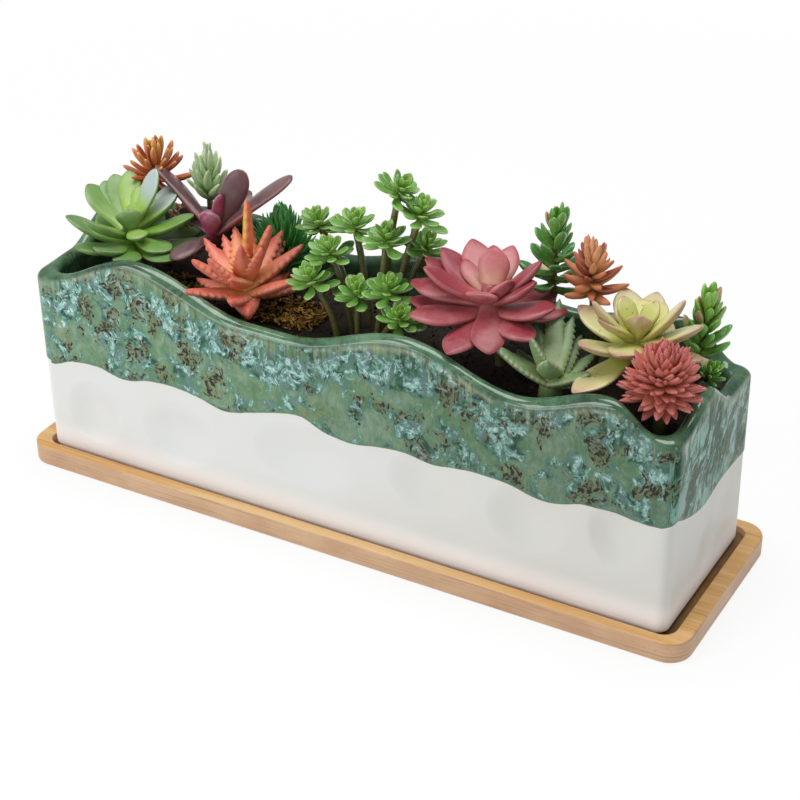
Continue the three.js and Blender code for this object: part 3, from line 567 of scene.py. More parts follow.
    # The ends' rough run glaze shines less than the long sides.
    tree.links.new(remap(tree, ends, 0, 1, 0.28, 0.06), shader.inputs["Specular IOR Level"])
    tree.links.new(calc(tree, "ADD", calc(tree, "MULTIPLY", onLip, 0.75), 0.04), shader.inputs["Coat Weight"])
    shader.inputs["Coat Roughness"].default_value = 0.05
    return material


place(makeObject("ceramic_pot_skin", potPatch(), ceramicMaterial()), "pot", "glazed_ceramic", "ceramic_pot")
print("pot made")


# ---- bamboo tray ----

tray = {"thick": 9.6, "floor": 5.6, "recessX": 152.8, "recessY": 42.1, "outerX": 160, "outerY": 47.45,
        "corner": 10.1, "recessCorner": 6, "edge": 1.0}


def trayPatch():
    stations = stationsAround(150, 44, 14)
    rings = []

    def add(halfX, halfY, radius, z):
        ring = planRing(stations, halfX, halfY, radius)
        rings.append(np.column_stack([ring, np.full(len(stations), z)]))

    edge = tray["edge"]
    for i in range(5):
        angle = i / 4 * math.pi / 2
        inset = edge * (1 - math.sin(angle))
        add(tray["outerX"] - inset, tray["outerY"] - inset, tray["corner"] - inset, edge * (1 - math.cos(angle)))
    for i in range(5):
        angle = i / 4 * math.pi / 2
        inset = edge * (1 - math.cos(angle))
        z = tray["thick"] - edge * (1 - math.sin(angle))
        add(tray["outerX"] - inset, tray["outerY"] - inset, tray["corner"] - inset, z)
    add(tray["recessX"] + 0.5, tray["recessY"] + 0.5, tray["recessCorner"] + 0.5, tray["thick"])
    add(tray["recessX"] + 0.15, tray["recessY"] + 0.15, tray["recessCorner"] + 0.15, tray["thick"] - 0.15)
    add(tray["recessX"], tray["recessY"], tray["recessCorner"], tray["thick"] - 0.5)
    add(tray["recessX"], tray["recessY"], tray["recessCorner"], tray["floor"])
    around, count = len(stations), len(rings)
    faces = ringFaces(count, around)
    faces += [list(range(around)), list(range((count - 1) * around, count * around))]
    return patch(np.concatenate(rings), faces)


bambooLook = {"pale": "#EAC288", "gold": "#DDA864", "line": "#AF7C45", "side": "#D6B08A", "sideLine": "#B08A66"}


def bambooMaterial():
    look = bambooLook
    material, tree, shader = newMaterial("bamboo")
    coordinates = addNode(tree, "ShaderNodeTexCoord")
    spot = coordinates.outputs["Object"]
    parts = addNode(tree, "ShaderNodeSeparateXYZ", {"Vector": spot})
    upward = addNode(tree, "ShaderNodeSeparateXYZ", {"Vector": coordinates.outputs["Normal"]}).outputs["Z"]
    # Strips about 19 mm wide run along the tray, each with its own tone.
    strip = calc(tree, "FLOOR", calc(tree, "MULTIPLY", parts.outputs["Y"], 1000 / 19))
    tone = addNode(tree, "ShaderNodeTexWhiteNoise", {"W": strip}, noise_dimensions="1D").outputs["Value"]
    fibre = noise(tree, stretched(tree, spot, (0.014, 1, 1)), 1.1, 4, 0.6)
    wide = noise(tree, stretched(tree, spot, (0.05, 1, 1)), 7, 3, 0.6)
    top = blend(tree, remap(tree, wide, 0.35, 0.65), look["gold"], look["pale"])
    top = blend(tree, remap(tree, fibre, 0.52, 0.70, 0, 0.65), top, look["line"])
    top = blend(tree, calc(tree, "MULTIPLY", tone, 0.22), top, "#C08C50")
    layers = noise(tree, stretched(tree, spot, (0.02, 0.02, 1)), 0.9, 3, 0.6)
    sides = blend(tree, remap(tree, noise(tree, spot, 30, 3), 0.35, 0.65), look["side"], "#C79C78")
    sides = blend(tree, remap(tree, layers, 0.50, 0.66, 0, 0.7), sides, look["sideLine"])
    dots = remap(tree, cells(tree, stretched(tree, spot, (0.3, 1, 1)), 1.3).outputs["Distance"], 0.16, 0.08)
    sides = blend(tree, calc(tree, "MULTIPLY", dots, 0.4), sides, "#7E5A3E")
    face = remap(tree, upward, 0.5, 0.9)
    tint = blend(tree, face, sides, top)
    # Painted shade: only the recess is painted darker with depth.
    deep = remap(tree, parts.outputs["Z"], 0.0078, 0.0057, 0, 0.55)
    inX = remap(tree, calc(tree, "ABSOLUTE", parts.outputs["X"]), 0.1540, 0.1532)
    inY = remap(tree, calc(tree, "ABSOLUTE", parts.outputs["Y"]), 0.0433, 0.0425)
    recess = calc(tree, "MULTIPLY", calc(tree, "MULTIPLY", inX, inY), remap(tree, upward, -0.6, -0.2))
    tint = blend(tree, calc(tree, "MULTIPLY", deep, recess), tint, "#4A3020")
    tree.links.new(tint, shader.inputs["Base Color"])
    tree.links.new(calc(tree, "ADD", calc(tree, "MULTIPLY", fibre, 0.2), 0.36), shader.inputs["Roughness"])
    bump(tree, shader, calc(tree, "ADD", fibre, calc(tree, "MULTIPLY", layers, 0.5)), 0.25, 0.0003)
    shader.inputs["Coat Weight"].default_value = 0.12
    shader.inputs["Coat Roughness"].default_value = 0.3
    return material


place(makeObject("bamboo_tray_wood", trayPatch(), bambooMaterial()), "tray", "bamboo", "bamboo_tray")
print("tray made")


# ---- geometry node helpers ----

def newGroup(name, inputs):
    tree = bpy.data.node_groups.new(name, "GeometryNodeTree")
    tree.interface.new_socket(name="Geometry", in_out="INPUT", socket_type="NodeSocketGeometry")
    for key, kind in inputs.items():
        tree.interface.new_socket(name=key, in_out="INPUT", socket_type="NodeSocket" + kind)
    tree.interface.new_socket(name="Geometry", in_out="OUTPUT", socket_type="NodeSocketGeometry")
    return tree, tree.nodes.new("NodeGroupInput"), tree.nodes.new("NodeGroupOutput")


def grown(item, tree, values):
    modifier = item.modifiers.new("growth", "NODES")
    modifier.node_group = tree
    for socket in tree.interface.items_tree:
        if socket.in_out == "INPUT" and socket.name in values:
            modifier[socket.identifier] = values[socket.name]
    bpy.context.view_layer.update()
    depsgraph = bpy.context.evaluated_depsgraph_get()
    depsgraph.update()
    mesh = bpy.data.meshes.new_from_object(
        item.evaluated_get(depsgraph), preserve_all_data_layers=True, depsgraph=depsgraph)
    item.modifiers.remove(modifier)
    return mesh


def randomValue(tree, low, high, seed, kind="FLOAT"):
    item = addNode(tree, "FunctionNodeRandomValue", data_type=kind)
    first, second = (0, 1) if kind == "FLOAT_VECTOR" else (2, 3)
    item.inputs[first].default_value = low
    item.inputs[second].default_value = high
    if isinstance(seed, bpy.types.NodeSocket):
        tree.links.new(seed, item.inputs["Seed"])
    else:
        item.inputs["Seed"].default_value = seed
    return item.outputs[0] if kind == "FLOAT_VECTOR" else item.outputs[1]


# ---- soil and moss ----

soil = {"dome": 1.5, "slope": 25, "crumbs": 90000, "seed": 5}


def soilPatch():
    stations = stationsAround(130, 36, 6)
    around = len(stations)
    gap = 0.3
    rings = []

    def add(inset, z):
        far = pot["wall"] + gap + inset
        radius = max(1.5, pot["insideCorner"] - inset * 0.15)
        ring = planRing(stations, pot["halfLength"] - far, pot["halfWidth"] - far, radius)
        rings.append(np.column_stack([ring, np.full(around, z)]))

    bottom = pot["floor"] + gap
    add(pot["floorRound"], bottom)
    add(0, bottom + pot["floorRound"])
    add(0, pot["soil"] - 0.6)
    for inset in np.linspace(0.6, 25, 24):
        add(inset, pot["soil"] + soil["dome"] * math.sin(inset / soil["slope"] * math.pi / 2) - 0.5)
    points = np.concatenate(rings)
    top = points[:, 2] > pot["soil"] - 0.55
    x, y = points[:, 0], points[:, 1]
    rough = 0.30 * np.sin(x * 0.9 + 2 * np.sin(y * 0.5)) + 0.25 * np.sin(y * 1.3 + 1.5 * np.sin(x * 0.37))
    points[top, 2] += rough[top] * 0.8
    faces = ringFaces(len(rings), around)
    faces += [list(range(around)), list(range((len(rings) - 1) * around, len(rings) * around))]
    return patch(points + potShift, faces, tone=0.5, top=top.astype(float))


def soilMaterial():
    material, tree, shader = newMaterial("potting mix")
    spot = addNode(tree, "ShaderNodeTexCoord").outputs["Object"]
    tone = attribute(tree, "tone")
    grit = noise(tree, spot, 2.2, 5, 0.7)
    dark = ramp(tree, grit, [(0.3, "#0E0A08"), (0.5, "#211811"), (0.68, "#3A2B1D")])
    bark = ramp(tree, tone, [(0.0, "#17100C"), (0.5, "#2B1F15"), (0.85, "#4C3926"), (1.0, "#7E6A4C")])
    tree.links.new(blend(tree, 0.5, dark, bark), shader.inputs["Base Color"])
    shader.inputs["Roughness"].default_value = 0.9
    bump(tree, shader, grit, 0.7, 0.0008)
    return material


def crumbGroup(material):
    tree, source, out = newGroup("soil crumbs", {"Density": "Float", "Seed": "Int"})
    upward = addNode(tree, "ShaderNodeSeparateXYZ", {0: addNode(tree, "GeometryNodeInputNormal").outputs[0]})
    height = addNode(tree, "ShaderNodeSeparateXYZ", {0: addNode(tree, "GeometryNodeInputPosition").outputs[0]})
    facing = addNode(tree, "FunctionNodeCompare", {0: upward.outputs[2], 1: 0.5}, operation="GREATER_THAN").outputs[0]
    above = addNode(tree, "FunctionNodeCompare", {0: height.outputs[2], 1: 0.08}, operation="GREATER_THAN").outputs[0]
    wanted = addNode(tree, "FunctionNodeBooleanMath", {0: facing, 1: above}).outputs[0]
    scatter = addNode(tree, "GeometryNodeDistributePointsOnFaces", {
        "Mesh": source.outputs["Geometry"], "Selection": wanted,
        "Density": source.outputs["Density"], "Seed": source.outputs["Seed"]})
    crumb = addNode(tree, "GeometryNodeMeshIcoSphere", {"Radius": 0.001, "Subdivisions": 1})
    spin = randomValue(tree, (0, 0, 0), (6.28, 6.28, 6.28), 3, "FLOAT_VECTOR")
    sizes = randomValue(tree, (0.35, 0.3, 0.2), (1.7, 1.0, 0.55), 4, "FLOAT_VECTOR")
    copies = addNode(tree, "GeometryNodeInstanceOnPoints", {
        "Points": scatter.outputs["Points"], "Instance": crumb.outputs["Mesh"],
        "Rotation": addNode(tree, "FunctionNodeEulerToRotation", {0: spin}).outputs[0], "Scale": sizes})
    toned = addNode(tree, "GeometryNodeStoreNamedAttribute", {
        "Geometry": copies.outputs[0], "Name": "tone", "Value": randomValue(tree, 0.0, 1.0, 8)},
        data_type="FLOAT", domain="INSTANCE")
    real = addNode(tree, "GeometryNodeRealizeInstances", {0: toned.outputs[0]})
    shake = addNode(tree, "ShaderNodeTexNoise", {"Scale": 900.0, "Detail": 1.0}).outputs["Color"]
    centred = addNode(tree, "ShaderNodeVectorMath", {0: shake, 1: (0.5, 0.5, 0.5)}, operation="SUBTRACT").outputs[0]
    offset = addNode(tree, "ShaderNodeVectorMath", {0: centred, "Scale": 0.0012}, operation="SCALE").outputs[0]
    rough = addNode(tree, "GeometryNodeSetPosition", {"Geometry": real.outputs[0], "Offset": offset})
    both = addNode(tree, "GeometryNodeJoinGeometry")
    tree.links.new(source.outputs["Geometry"], both.inputs[0])
    tree.links.new(rough.outputs[0], both.inputs[0])
    painted = addNode(tree, "GeometryNodeSetMaterial", {"Geometry": both.outputs[0], "Material": material})
    tree.links.new(painted.outputs[0], out.inputs[0])
    return tree


def clearOf(item, low, high):
    for vertex in item.data.vertices:
        for axis in (0, 1, 2):
            vertex.co[axis] = min(high[axis], max(low[axis], vertex.co[axis]))


soilStuff = soilMaterial()
soilBase = makeObject("soil_surface", soilPatch(), soilStuff)
soilBase.data = grown(soilBase, crumbGroup(soilStuff), {"Density": soil["crumbs"], "Seed": soil["seed"]})
clearOf(soilBase, ((-insideLength + 0.1 - 1.1) / 1000, (-insideWidth + 0.4) / 1000, 0.013),
        ((insideLength - 0.1 - 1.1) / 1000, (insideWidth + 0.2) / 1000, 0.0875))
place(soilBase, "pot", "soil", "soil_bed")
print("soil made,", len(soilBase.data.polygons), "faces")

moss = {
    "moss_pad_front": {"at": [-0.3, -0.17], "half": [19, 11], "tall": 5, "strands": 420, "seed": 11},
    "moss_pad_left": {"at": [-0.66, -0.2], "half": [12, 9], "tall": 4.5, "strands": 220, "seed": 12},
}


def mossPatch(pad):
    shares, turns = np.linspace(0, 1, 9), np.arange(28) / 28 * 2 * math.pi
    middle = np.array([pad["at"][0] * insideLength, pad["at"][1] * insideWidth, pot["soil"]])
    rings = []
    for share in shares[:-1]:
        reach = math.cos(share * math.pi / 2)
        wave = 1 + 0.07 * np.sin(turns * 3 + share * 4) + 0.05 * np.sin(turns * 5)
        x, y = pad["half"][0] * 0.9 * reach * wave * np.cos(turns), pad["half"][1] * 0.9 * reach * wave * np.sin(turns)
        z = np.full(28, pad["tall"] * 0.62 * math.sin(share * math.pi / 2) + 1.2)
        rings.append(np.column_stack([x, y, z]))
    points = np.concatenate(rings)
    faces = ringFaces(len(rings), 28) + [list(range(28)), list(range((len(rings) - 1) * 28, len(rings) * 28))]
    return patch(points + middle + potShift, faces, tone=0.2)


def mossMaterial():
    material, tree, shader = newMaterial("dried moss")
    spot = addNode(tree, "ShaderNodeTexCoord").outputs["Object"]
    tone = attribute(tree, "tone")
    strands = ramp(tree, tone, [(0.0, "#4C3413"), (0.35, "#8A5F1E"), (0.7, "#C39038"), (1.0, "#DDB963")])
    patchy = remap(tree, noise(tree, spot, 6, 3, 0.6), 0.45, 0.62, 0, 0.6)
    tree.links.new(blend(tree, patchy, strands, "#6E5A22"), shader.inputs["Base Color"])
    shader.inputs["Roughness"].default_value = 0.8
    bump(tree, shader, noise(tree, spot, 0.9, 3), 0.5, 0.0003)
    return material


def strandGroup(material):
    tree, source, out = newGroup("moss strands", {"Count": "Float", "Seed": "Int"})
    scatter = addNode(tree, "GeometryNodeDistributePointsOnFaces", {
        "Mesh": source.outputs["Geometry"], "Density": source.outputs["Count"], "Seed": source.outputs["Seed"]})
    thread = addNode(tree, "GeometryNodeCurvePrimitiveLine", {"Start": (0, 0, 0), "End": (0.009, 0, 0)})
    points = addNode(tree, "GeometryNodeResampleCurve", {"Curve": thread.outputs[0], "Count": 12})
    spin = randomValue(tree, (-0.3, -0.5, 0), (0.3, 0.25, 6.28), 21, "FLOAT_VECTOR")
    copies = addNode(tree, "GeometryNodeInstanceOnPoints", {
        "Points": scatter.outputs["Points"], "Instance": points.outputs[0],
        "Rotation": addNode(tree, "FunctionNodeEulerToRotation", {0: spin}).outputs[0],
        "Scale": randomValue(tree, (0.5, 0.5, 0.5), (1.2, 1.2, 1.2), 22, "FLOAT_VECTOR")})
    toned = addNode(tree, "GeometryNodeStoreNamedAttribute", {
        "Geometry": copies.outputs[0], "Name": "tone", "Value": randomValue(tree, 0.1, 1.0, 23)},
        data_type="FLOAT", domain="INSTANCE")
    real = addNode(tree, "GeometryNodeRealizeInstances", {0: toned.outputs[0]})
    shake = addNode(tree, "ShaderNodeTexNoise", {"Scale": 260.0, "Detail": 2.0}).outputs["Color"]
    centred = addNode(tree, "ShaderNodeVectorMath", {0: shake, 1: (0.5, 0.5, 0.45)}, operation="SUBTRACT").outputs[0]
    offset = addNode(tree, "ShaderNodeVectorMath", {0: centred, "Scale": 0.009}, operation="SCALE").outputs[0]
    curly = addNode(tree, "GeometryNodeSetPosition", {"Geometry": real.outputs[0], "Offset": offset})
    section = addNode(tree, "GeometryNodeCurvePrimitiveCircle", {"Resolution": 4, "Radius": 0.00034})
    solid = addNode(tree, "GeometryNodeCurveToMesh", {
        "Curve": curly.outputs[0], "Profile Curve": section.outputs[0], "Fill Caps": True})
    both = addNode(tree, "GeometryNodeJoinGeometry")
    tree.links.new(source.outputs["Geometry"], both.inputs[0])
    tree.links.new(solid.outputs[0], both.inputs[0])
    painted = addNode(tree, "GeometryNodeSetMaterial", {"Geometry": both.outputs[0], "Material": material})
    tree.links.new(painted.outputs[0], out.inputs[0])
    return tree


mossStuff = mossMaterial()
mossTree = strandGroup(mossStuff)
for node, pad in moss.items():
    item = makeObject(node + "_strands", mossPatch(pad), mossStuff)
    area = math.pi * pad["half"][0] * pad["half"][1] * 2e-6
    item.data = grown(item, mossTree, {"Count": pad["strands"] / area, "Seed": pad["seed"]})
    low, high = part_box(node)
    clearOf(item, low, high)
    place(item, "pot", "moss", node)
print("moss made")


# ---- leaves ----

# Outlines as [share of the length, share of the width], with the thickness, the round of the tip and the edge.
leafForms = {
    "spoon": {"width": [[0, 0.36], [0.25, 0.52], [0.5, 0.86], [0.72, 1], [1, 0.95]], "tip": [0.66, 2.1, 0.62],
              "thick": [[0, 0.9], [0.5, 1], [1, 0.7]], "edge": 1.25},
    "petal": {"width": [[0, 0.42], [0.3, 0.72], [0.6, 1], [0.82, 0.92], [1, 0.7]], "tip": [0.68, 2.1, 0.68],
              "thick": [[0, 0.95], [0.5, 1], [1, 0.7]], "edge": 1.1},
    "lance": {"width": [[0, 1], [0.25, 0.98], [0.55, 0.8], [0.8, 0.46], [1, 0.14]], "tip": [0.85, 2, 0.6],
              "thick": [[0, 0.95], [0.5, 0.95], [1, 0.6]], "edge": 1.15},
    "paddle": {"width": [[0, 0.36], [0.3, 0.6], [0.6, 1], [0.85, 1], [1, 0.95]], "tip": [0.72, 2.4, 0.5],
               "thick": [[0, 0.9], [0.5, 1], [1, 0.8]], "edge": 1.3},
    "finger": {"width": [[0, 0.6], [0.4, 0.9], [0.75, 1], [1, 0.8]], "tip": [0.7, 2, 0.6],
               "thick": [[0, 0.7], [0.5, 1], [1, 0.9]], "edge": 1.0},
    "blade": {"width": [[0, 0.7], [0.3, 1], [0.6, 0.85], [1, 0.15]], "tip": [0.85, 2, 0.6],
              "thick": [[0, 0.9], [0.5, 1], [1, 0.5]], "edge": 1.1},
}


def leafPatch(form, length, width, thick, curl, cup, rings=16, around=14, teeth=None, tone=0.5, layer=0.5, seed=0):
    dice = np.random.default_rng(seed)
    outline = leafForms[form]
    share = 1 - (1 - np.linspace(0, 1, rings + 1)[:-1]) ** 1.35
    start, power, root = outline["tip"]
    beyond = np.clip((share - start) / (1 - start), 0, 1)
    tipRound = (1 - beyond**power) ** root
    half = width / 2 * eased(share, outline["width"]) * tipRound
    deep = thick / 2 * eased(share, outline["thick"]) * np.maximum(tipRound, 0.15) ** 0.8
    turns = np.arange(around) / around * 2 * math.pi
    side, face = np.cos(turns), np.sin(turns)
    bow, twist = dice.uniform(-0.05, 0.05) * length, dice.uniform(-7, 7) * deg
    bend = curl * share / 2
    spine = np.stack([length * share * np.cos(bend), bow * share**2 * np.sin(share * 3), length * share * np.sin(bend)], 1)
    edge = outline["edge"]
    upper = np.where(face > 0, 0.85, 1.1)
    points = []
    for i, s in enumerate(share):
        reach = half[i] * np.sign(side) * np.abs(side) ** 0.92
        if teeth:
            saw = (s * teeth["count"]) % 1
            sharp = (1 - saw) if saw > 0.25 else saw / 0.25 * 0.75
            fade = min(1, s * 5) * min(1, (1 - s) * 5)
            reach = reach + np.sign(side) * np.abs(side) ** 6 * teeth["size"] * (sharp - 0.3) * fade
        lift = deep[i] * upper * np.sign(face) * np.abs(face) ** edge + cup * half[i] * side**2
        lean = curl * s
        roll = twist * s
        across, up = reach * math.cos(roll) - lift * math.sin(roll), reach * math.sin(roll) + lift * math.cos(roll)
        x = spine[i, 0] - up * math.sin(lean)
        z = spine[i, 2] + up * math.cos(lean)
        points.append(np.column_stack([x, spine[i, 1] + across, z]))
    tip = [length * math.cos(curl / 2), bow * math.sin(3), length * math.sin(curl / 2)]
    body = np.concatenate([*points, [tip], [spine[0]]])
    faces = ringFaces(rings, around)
    last, top, base = (rings - 1) * around, rings * around, rings * around + 1
    for j in range(around):
        after = (j + 1) % around
        faces += [[last + j, last + after, top], [after, j, base]]
    numbers = {
        "along": np.concatenate([np.repeat(share, around), [1, 0]]),
        "side": np.concatenate([np.tile(side, rings), [0, 0]]),
        "face": np.concatenate([np.tile(face, rings), [0, 0]]),
        "tone": tone, "layer": layer,
    }
    return patch(body, faces, **numbers)


def tubePatch(path, radii, around=12, tone=0.5, layer=-1.0):
    path = np.asarray(path, float)
    heading = np.gradient(path, axis=0)
    heading /= np.linalg.norm(heading, axis=1)[:, None]
    points = []
    turns = np.arange(around) / around * 2 * math.pi
    for spot, way, radius in zip(path, heading, radii):
        first = np.cross(way, [0.0, 1.0, 0.0])
        first = first / np.linalg.norm(first) if np.linalg.norm(first) > 1e-3 else np.array([1.0, 0, 0])
        second = np.cross(way, first)
        points.append(spot + radius * (np.outer(np.cos(turns), first) + np.outer(np.sin(turns), second)))
    faces = ringFaces(len(path), around) + [list(range(around)), list(range((len(path) - 1) * around, len(path) * around))]
    along = np.repeat(np.linspace(0, 1, len(path)), around)
    return patch(np.concatenate(points), faces, along=along, side=0, face=np.tile(np.sin(turns), len(path)), tone=tone, layer=layer)


def stemPath(foot, at, steps=16):
    a = np.array([foot[0], foot[1], -3.0])
    b = np.array([foot[0] * 0.7 + at[0] * 0.3, foot[1] * 0.7 + at[1] * 0.3, at[2] / 2])
    c = np.array(at, float)
    t = np.linspace(0, 1, steps)[:, None]
    pull = 2 * b - (a + c) / 2  # a curve that passes the middle point
    return (1 - t) ** 2 * a + 2 * t * (1 - t) * pull + t**2 * c


def leanOver(lean):
    return turnZ(lean[0] * deg) @ turnY(lean[1] * deg) @ turnZ(-lean[0] * deg)


def placedHead(head, form, seed):
    patches = []
    number = 0
    for level, (seat, curl, leaves) in enumerate(head["layers"]):
        for leaf in leaves:
            bearing, lift, length, width = leaf[:4]
            thick = leaf[4] if len(leaf) > 4 else head["thick"]
            roll = leaf[5] if len(leaf) > 5 else 0
            tone = 0.9 * ((math.sin((seed + number) * 12.9898) * 43758.5453) % 1)
            if number in head.get("marked", []):
                tone = 1.0
            layer = level / max(1, len(head["layers"]) - 1)
            piece = leafPatch(form, length, width, thick, curl * deg, head["cup"], teeth=head.get("teeth"),
                              rings=head.get("rings", 18), around=head.get("around", 16),
                              tone=tone, layer=layer, seed=seed * 50 + number)
            turn = turnZ(bearing * deg) @ turnY((curl / 2 - lift) * deg) @ turnX(roll * deg)
            patches.append(moved(piece, turn, (0, 0, seat)))
            number += 1
    return patches


def headGroup():
    inputs = {
        "Count": "Int", "Turn": "Float", "Lift Low": "Float", "Lift High": "Float", "Height Low": "Float",
        "Height High": "Float", "Scale Low": "Float", "Scale High": "Float", "Radius": "Float",
        "Ease": "Float", "Shake": "Float", "Seed": "Int", "Material": "Material",
    }
    tree, source, out = newGroup("leaf head", inputs)
    given = source.outputs
    index = addNode(tree, "GeometryNodeInputIndex").outputs[0]
    share = calc(tree, "DIVIDE", index, calc(tree, "SUBTRACT", given["Count"], 1))
    eased = calc(tree, "POWER", share, given["Ease"])

    def between(low, high, part):
        return calc(tree, "ADD", given[low], calc(tree, "MULTIPLY", calc(tree, "SUBTRACT", given[high], given[low]), part))

    def jitter(salt):
        seed = calc(tree, "ADD", given["Seed"], salt)
        return calc(tree, "MULTIPLY", randomValue(tree, -1.0, 1.0, seed), given["Shake"])

    angle = calc(tree, "ADD", calc(tree, "MULTIPLY", index, golden * deg), given["Turn"])
    angle = calc(tree, "ADD", angle, jitter(1))
    lift = calc(tree, "ADD", between("Lift Low", "Lift High", eased), jitter(2))
    height = between("Height Low", "Height High", share)
    size = calc(tree, "MULTIPLY", between("Scale Low", "Scale High", share), calc(tree, "ADD", 1.0, jitter(3)))
    spotX = calc(tree, "MULTIPLY", calc(tree, "COSINE", angle), given["Radius"])
    spotY = calc(tree, "MULTIPLY", calc(tree, "SINE", angle), given["Radius"])
    spot = addNode(tree, "ShaderNodeCombineXYZ", {0: spotX, 1: spotY, 2: height}).outputs[0]
    points = addNode(tree, "GeometryNodePoints", {"Count": given["Count"]})
    set1 = addNode(tree, "GeometryNodeSetPosition", {"Geometry": points.outputs[0], "Position": spot})
    tilt = calc(tree, "MULTIPLY", lift, -1.0)
    euler = addNode(tree, "ShaderNodeCombineXYZ", {0: jitter(4), 1: tilt, 2: angle}).outputs[0]
    scale = addNode(tree, "ShaderNodeCombineXYZ", {0: size, 1: size, 2: size}).outputs[0]
    copies = addNode(tree, "GeometryNodeInstanceOnPoints", {
        "Points": set1.outputs[0], "Instance": given["Geometry"],
        "Rotation": addNode(tree, "FunctionNodeEulerToRotation", {0: euler}).outputs[0], "Scale": scale})
    index2 = addNode(tree, "GeometryNodeInputIndex").outputs[0]
    share2 = calc(tree, "DIVIDE", index2, calc(tree, "SUBTRACT", given["Count"], 1))
    seed2 = calc(tree, "ADD", given["Seed"], 5)
    toned = addNode(tree, "GeometryNodeStoreNamedAttribute", {
        "Geometry": copies.outputs[0], "Name": "tone", "Value": randomValue(tree, 0.0, 1.0, seed2)},
        data_type="FLOAT", domain="INSTANCE")
    layered = addNode(tree, "GeometryNodeStoreNamedAttribute", {
        "Geometry": toned.outputs[0], "Name": "layer", "Value": share2}, data_type="FLOAT", domain="INSTANCE")
    real = addNode(tree, "GeometryNodeRealizeInstances", {0: layered.outputs[0]})
    painted = addNode(tree, "GeometryNodeSetMaterial", {"Geometry": real.outputs[0], "Material": given["Material"]})
    tree.links.new(painted.outputs[0], out.inputs[0])
    return tree


headTree = headGroup()


def grownHead(leaf, values, material):
    piece = leafPatch(tone=0, layer=0, **leaf)
    for key in ("tone", "layer"):
        piece["numbers"].pop(key)
    item = makeObject("one leaf", piece, material)
    mesh = grown(item, headTree, {**values, "Material": material})
    result = readMesh(mesh)
    bpy.data.objects.remove(item)
    bpy.data.meshes.remove(mesh)
    return result


# ---- leaf materials ----

def leafMaterial(name, look):
    material, tree, shader = newMaterial(name)
    spot = addNode(tree, "ShaderNodeTexCoord").outputs["Object"]
    along, side, face = attribute(tree, "along"), attribute(tree, "side"), attribute(tree, "face")
    tone, layer = attribute(tree, "tone"), attribute(tree, "layer")
    patchy = noise(tree, spot, look.get("patch", 7), 3, 0.6)
    waver = calc(tree, "MULTIPLY", calc(tree, "SUBTRACT", patchy, 0.5), look.get("waver", 0.3))
    length = calc(tree, "ADD", along, waver, clamp=True)
    upper = ramp(tree, length, look["upper"])
    if "inner" in look:
        inward = remap(tree, layer, *look.get("inwardFrom", (0.3, 1.0)))
        upper = blend(tree, inward, upper, ramp(tree, length, look["inner"]))
    if "other" in look:  # some leaves take another colour
        upper = blend(tree, remap(tree, tone, *look["otherFrom"]), upper, ramp(tree, length, look["other"]))
    if "under" in look:
        below = remap(tree, face, look.get("underFrom", 0.05), -0.35)
        upper = blend(tree, calc(tree, "MULTIPLY", below, look.get("underShare", 1.0)), upper, ramp(tree, length, look["under"]))
    if "edge" in look:
        colourOf, low, high, amount = look["edge"]
        near = remap(tree, calc(tree, "ADD", calc(tree, "ABSOLUTE", side), calc(tree, "MULTIPLY", waver, 0.3)), low, high)
        upper = blend(tree, calc(tree, "MULTIPLY", near, amount), upper, colourOf)
    if "tip" in look:
        colourOf, low, high, amount = look["tip"]
        near = remap(tree, calc(tree, "ADD", along, calc(tree, "MULTIPLY", waver, 0.3)), low, high)
        upper = blend(tree, calc(tree, "MULTIPLY", near, amount), upper, colourOf)
    if "bloom" in look:
        colourOf, amount = look["bloom"]
        filmAndSheen = remap(tree, noise(tree, spot, 11, 4, 0.65), 0.42, 0.62)
        upper = blend(tree, calc(tree, "MULTIPLY", filmAndSheen, amount), upper, colourOf)
    if "filmAndSheen" in look:  # painted sheen: a satin white shine painted on the upper face of a few leaves
        colourOf, low, high = look["filmAndSheen"]
        paintedSheen = calc(tree, "MULTIPLY", remap(tree, tone, low, high), remap(tree, face, -0.1, 0.4))
        paintedSheen = calc(tree, "MULTIPLY", paintedSheen, remap(tree, along, 0.35, 0.7))
        upper = blend(tree, calc(tree, "MULTIPLY", paintedSheen, remap(tree, patchy, 0.3, 0.5, 0.4, 0.9)), upper, colourOf)
    if "speck" in look:
        colourOf, size, amount = look["speck"]
        dots = remap(tree, cells(tree, spot, size).outputs["Distance"], 0.17, 0.10)
        some = remap(tree, noise(tree, spot, size * 5, 2), 0.45, 0.6)
        upper = blend(tree, calc(tree, "MULTIPLY", calc(tree, "MULTIPLY", dots, some), amount), upper, colourOf)
    stripes = noise(tree, stretched(tree, spot, (1, 1, 1)), 1.6, 4, 0.65)
    light = calc(tree, "ADD", calc(tree, "MULTIPLY", stripes, 0.22), calc(tree, "MULTIPLY", tone, 0.16))
    light = calc(tree, "ADD", light, 0.82)
    shade = addNode(tree, "ShaderNodeHueSaturation", {"Color": upper, "Value": light})
    stem = ramp(tree, noise(tree, stretched(tree, spot, (1, 1, 2.2)), 3.5, 3, 0.6), look["stem"])
    onStem = remap(tree, layer, -0.4, -0.6)
    tint = blend(tree, onStem, shade.outputs[0], stem)
    tree.links.new(tint, shader.inputs["Base Color"])
    roughness = calc(tree, "ADD", calc(tree, "MULTIPLY", noise(tree, spot, 4, 3), 0.16), look.get("gloss", 0.36) - 0.08)
    tree.links.new(roughness, shader.inputs["Roughness"])
    shader.inputs["Subsurface Weight"].default_value = look.get("glow", 0.12)
    shader.inputs["Subsurface Radius"].default_value = (0.9, 0.7, 0.35)
    shader.inputs["Subsurface Scale"].default_value = 0.0025
    shader.inputs["Coat Weight"].default_value = look.get("coat", 0.0)
    shader.inputs["Coat Roughness"].default_value = 0.25
    height = calc(tree, "ADD", calc(tree, "MULTIPLY", noise(tree, spot, 1.3, 3), 0.35), calc(tree, "MULTIPLY", patchy, 0.6))
    bump(tree, shader, height, look.get("bumpy", 0.25), 0.0006)
    return material


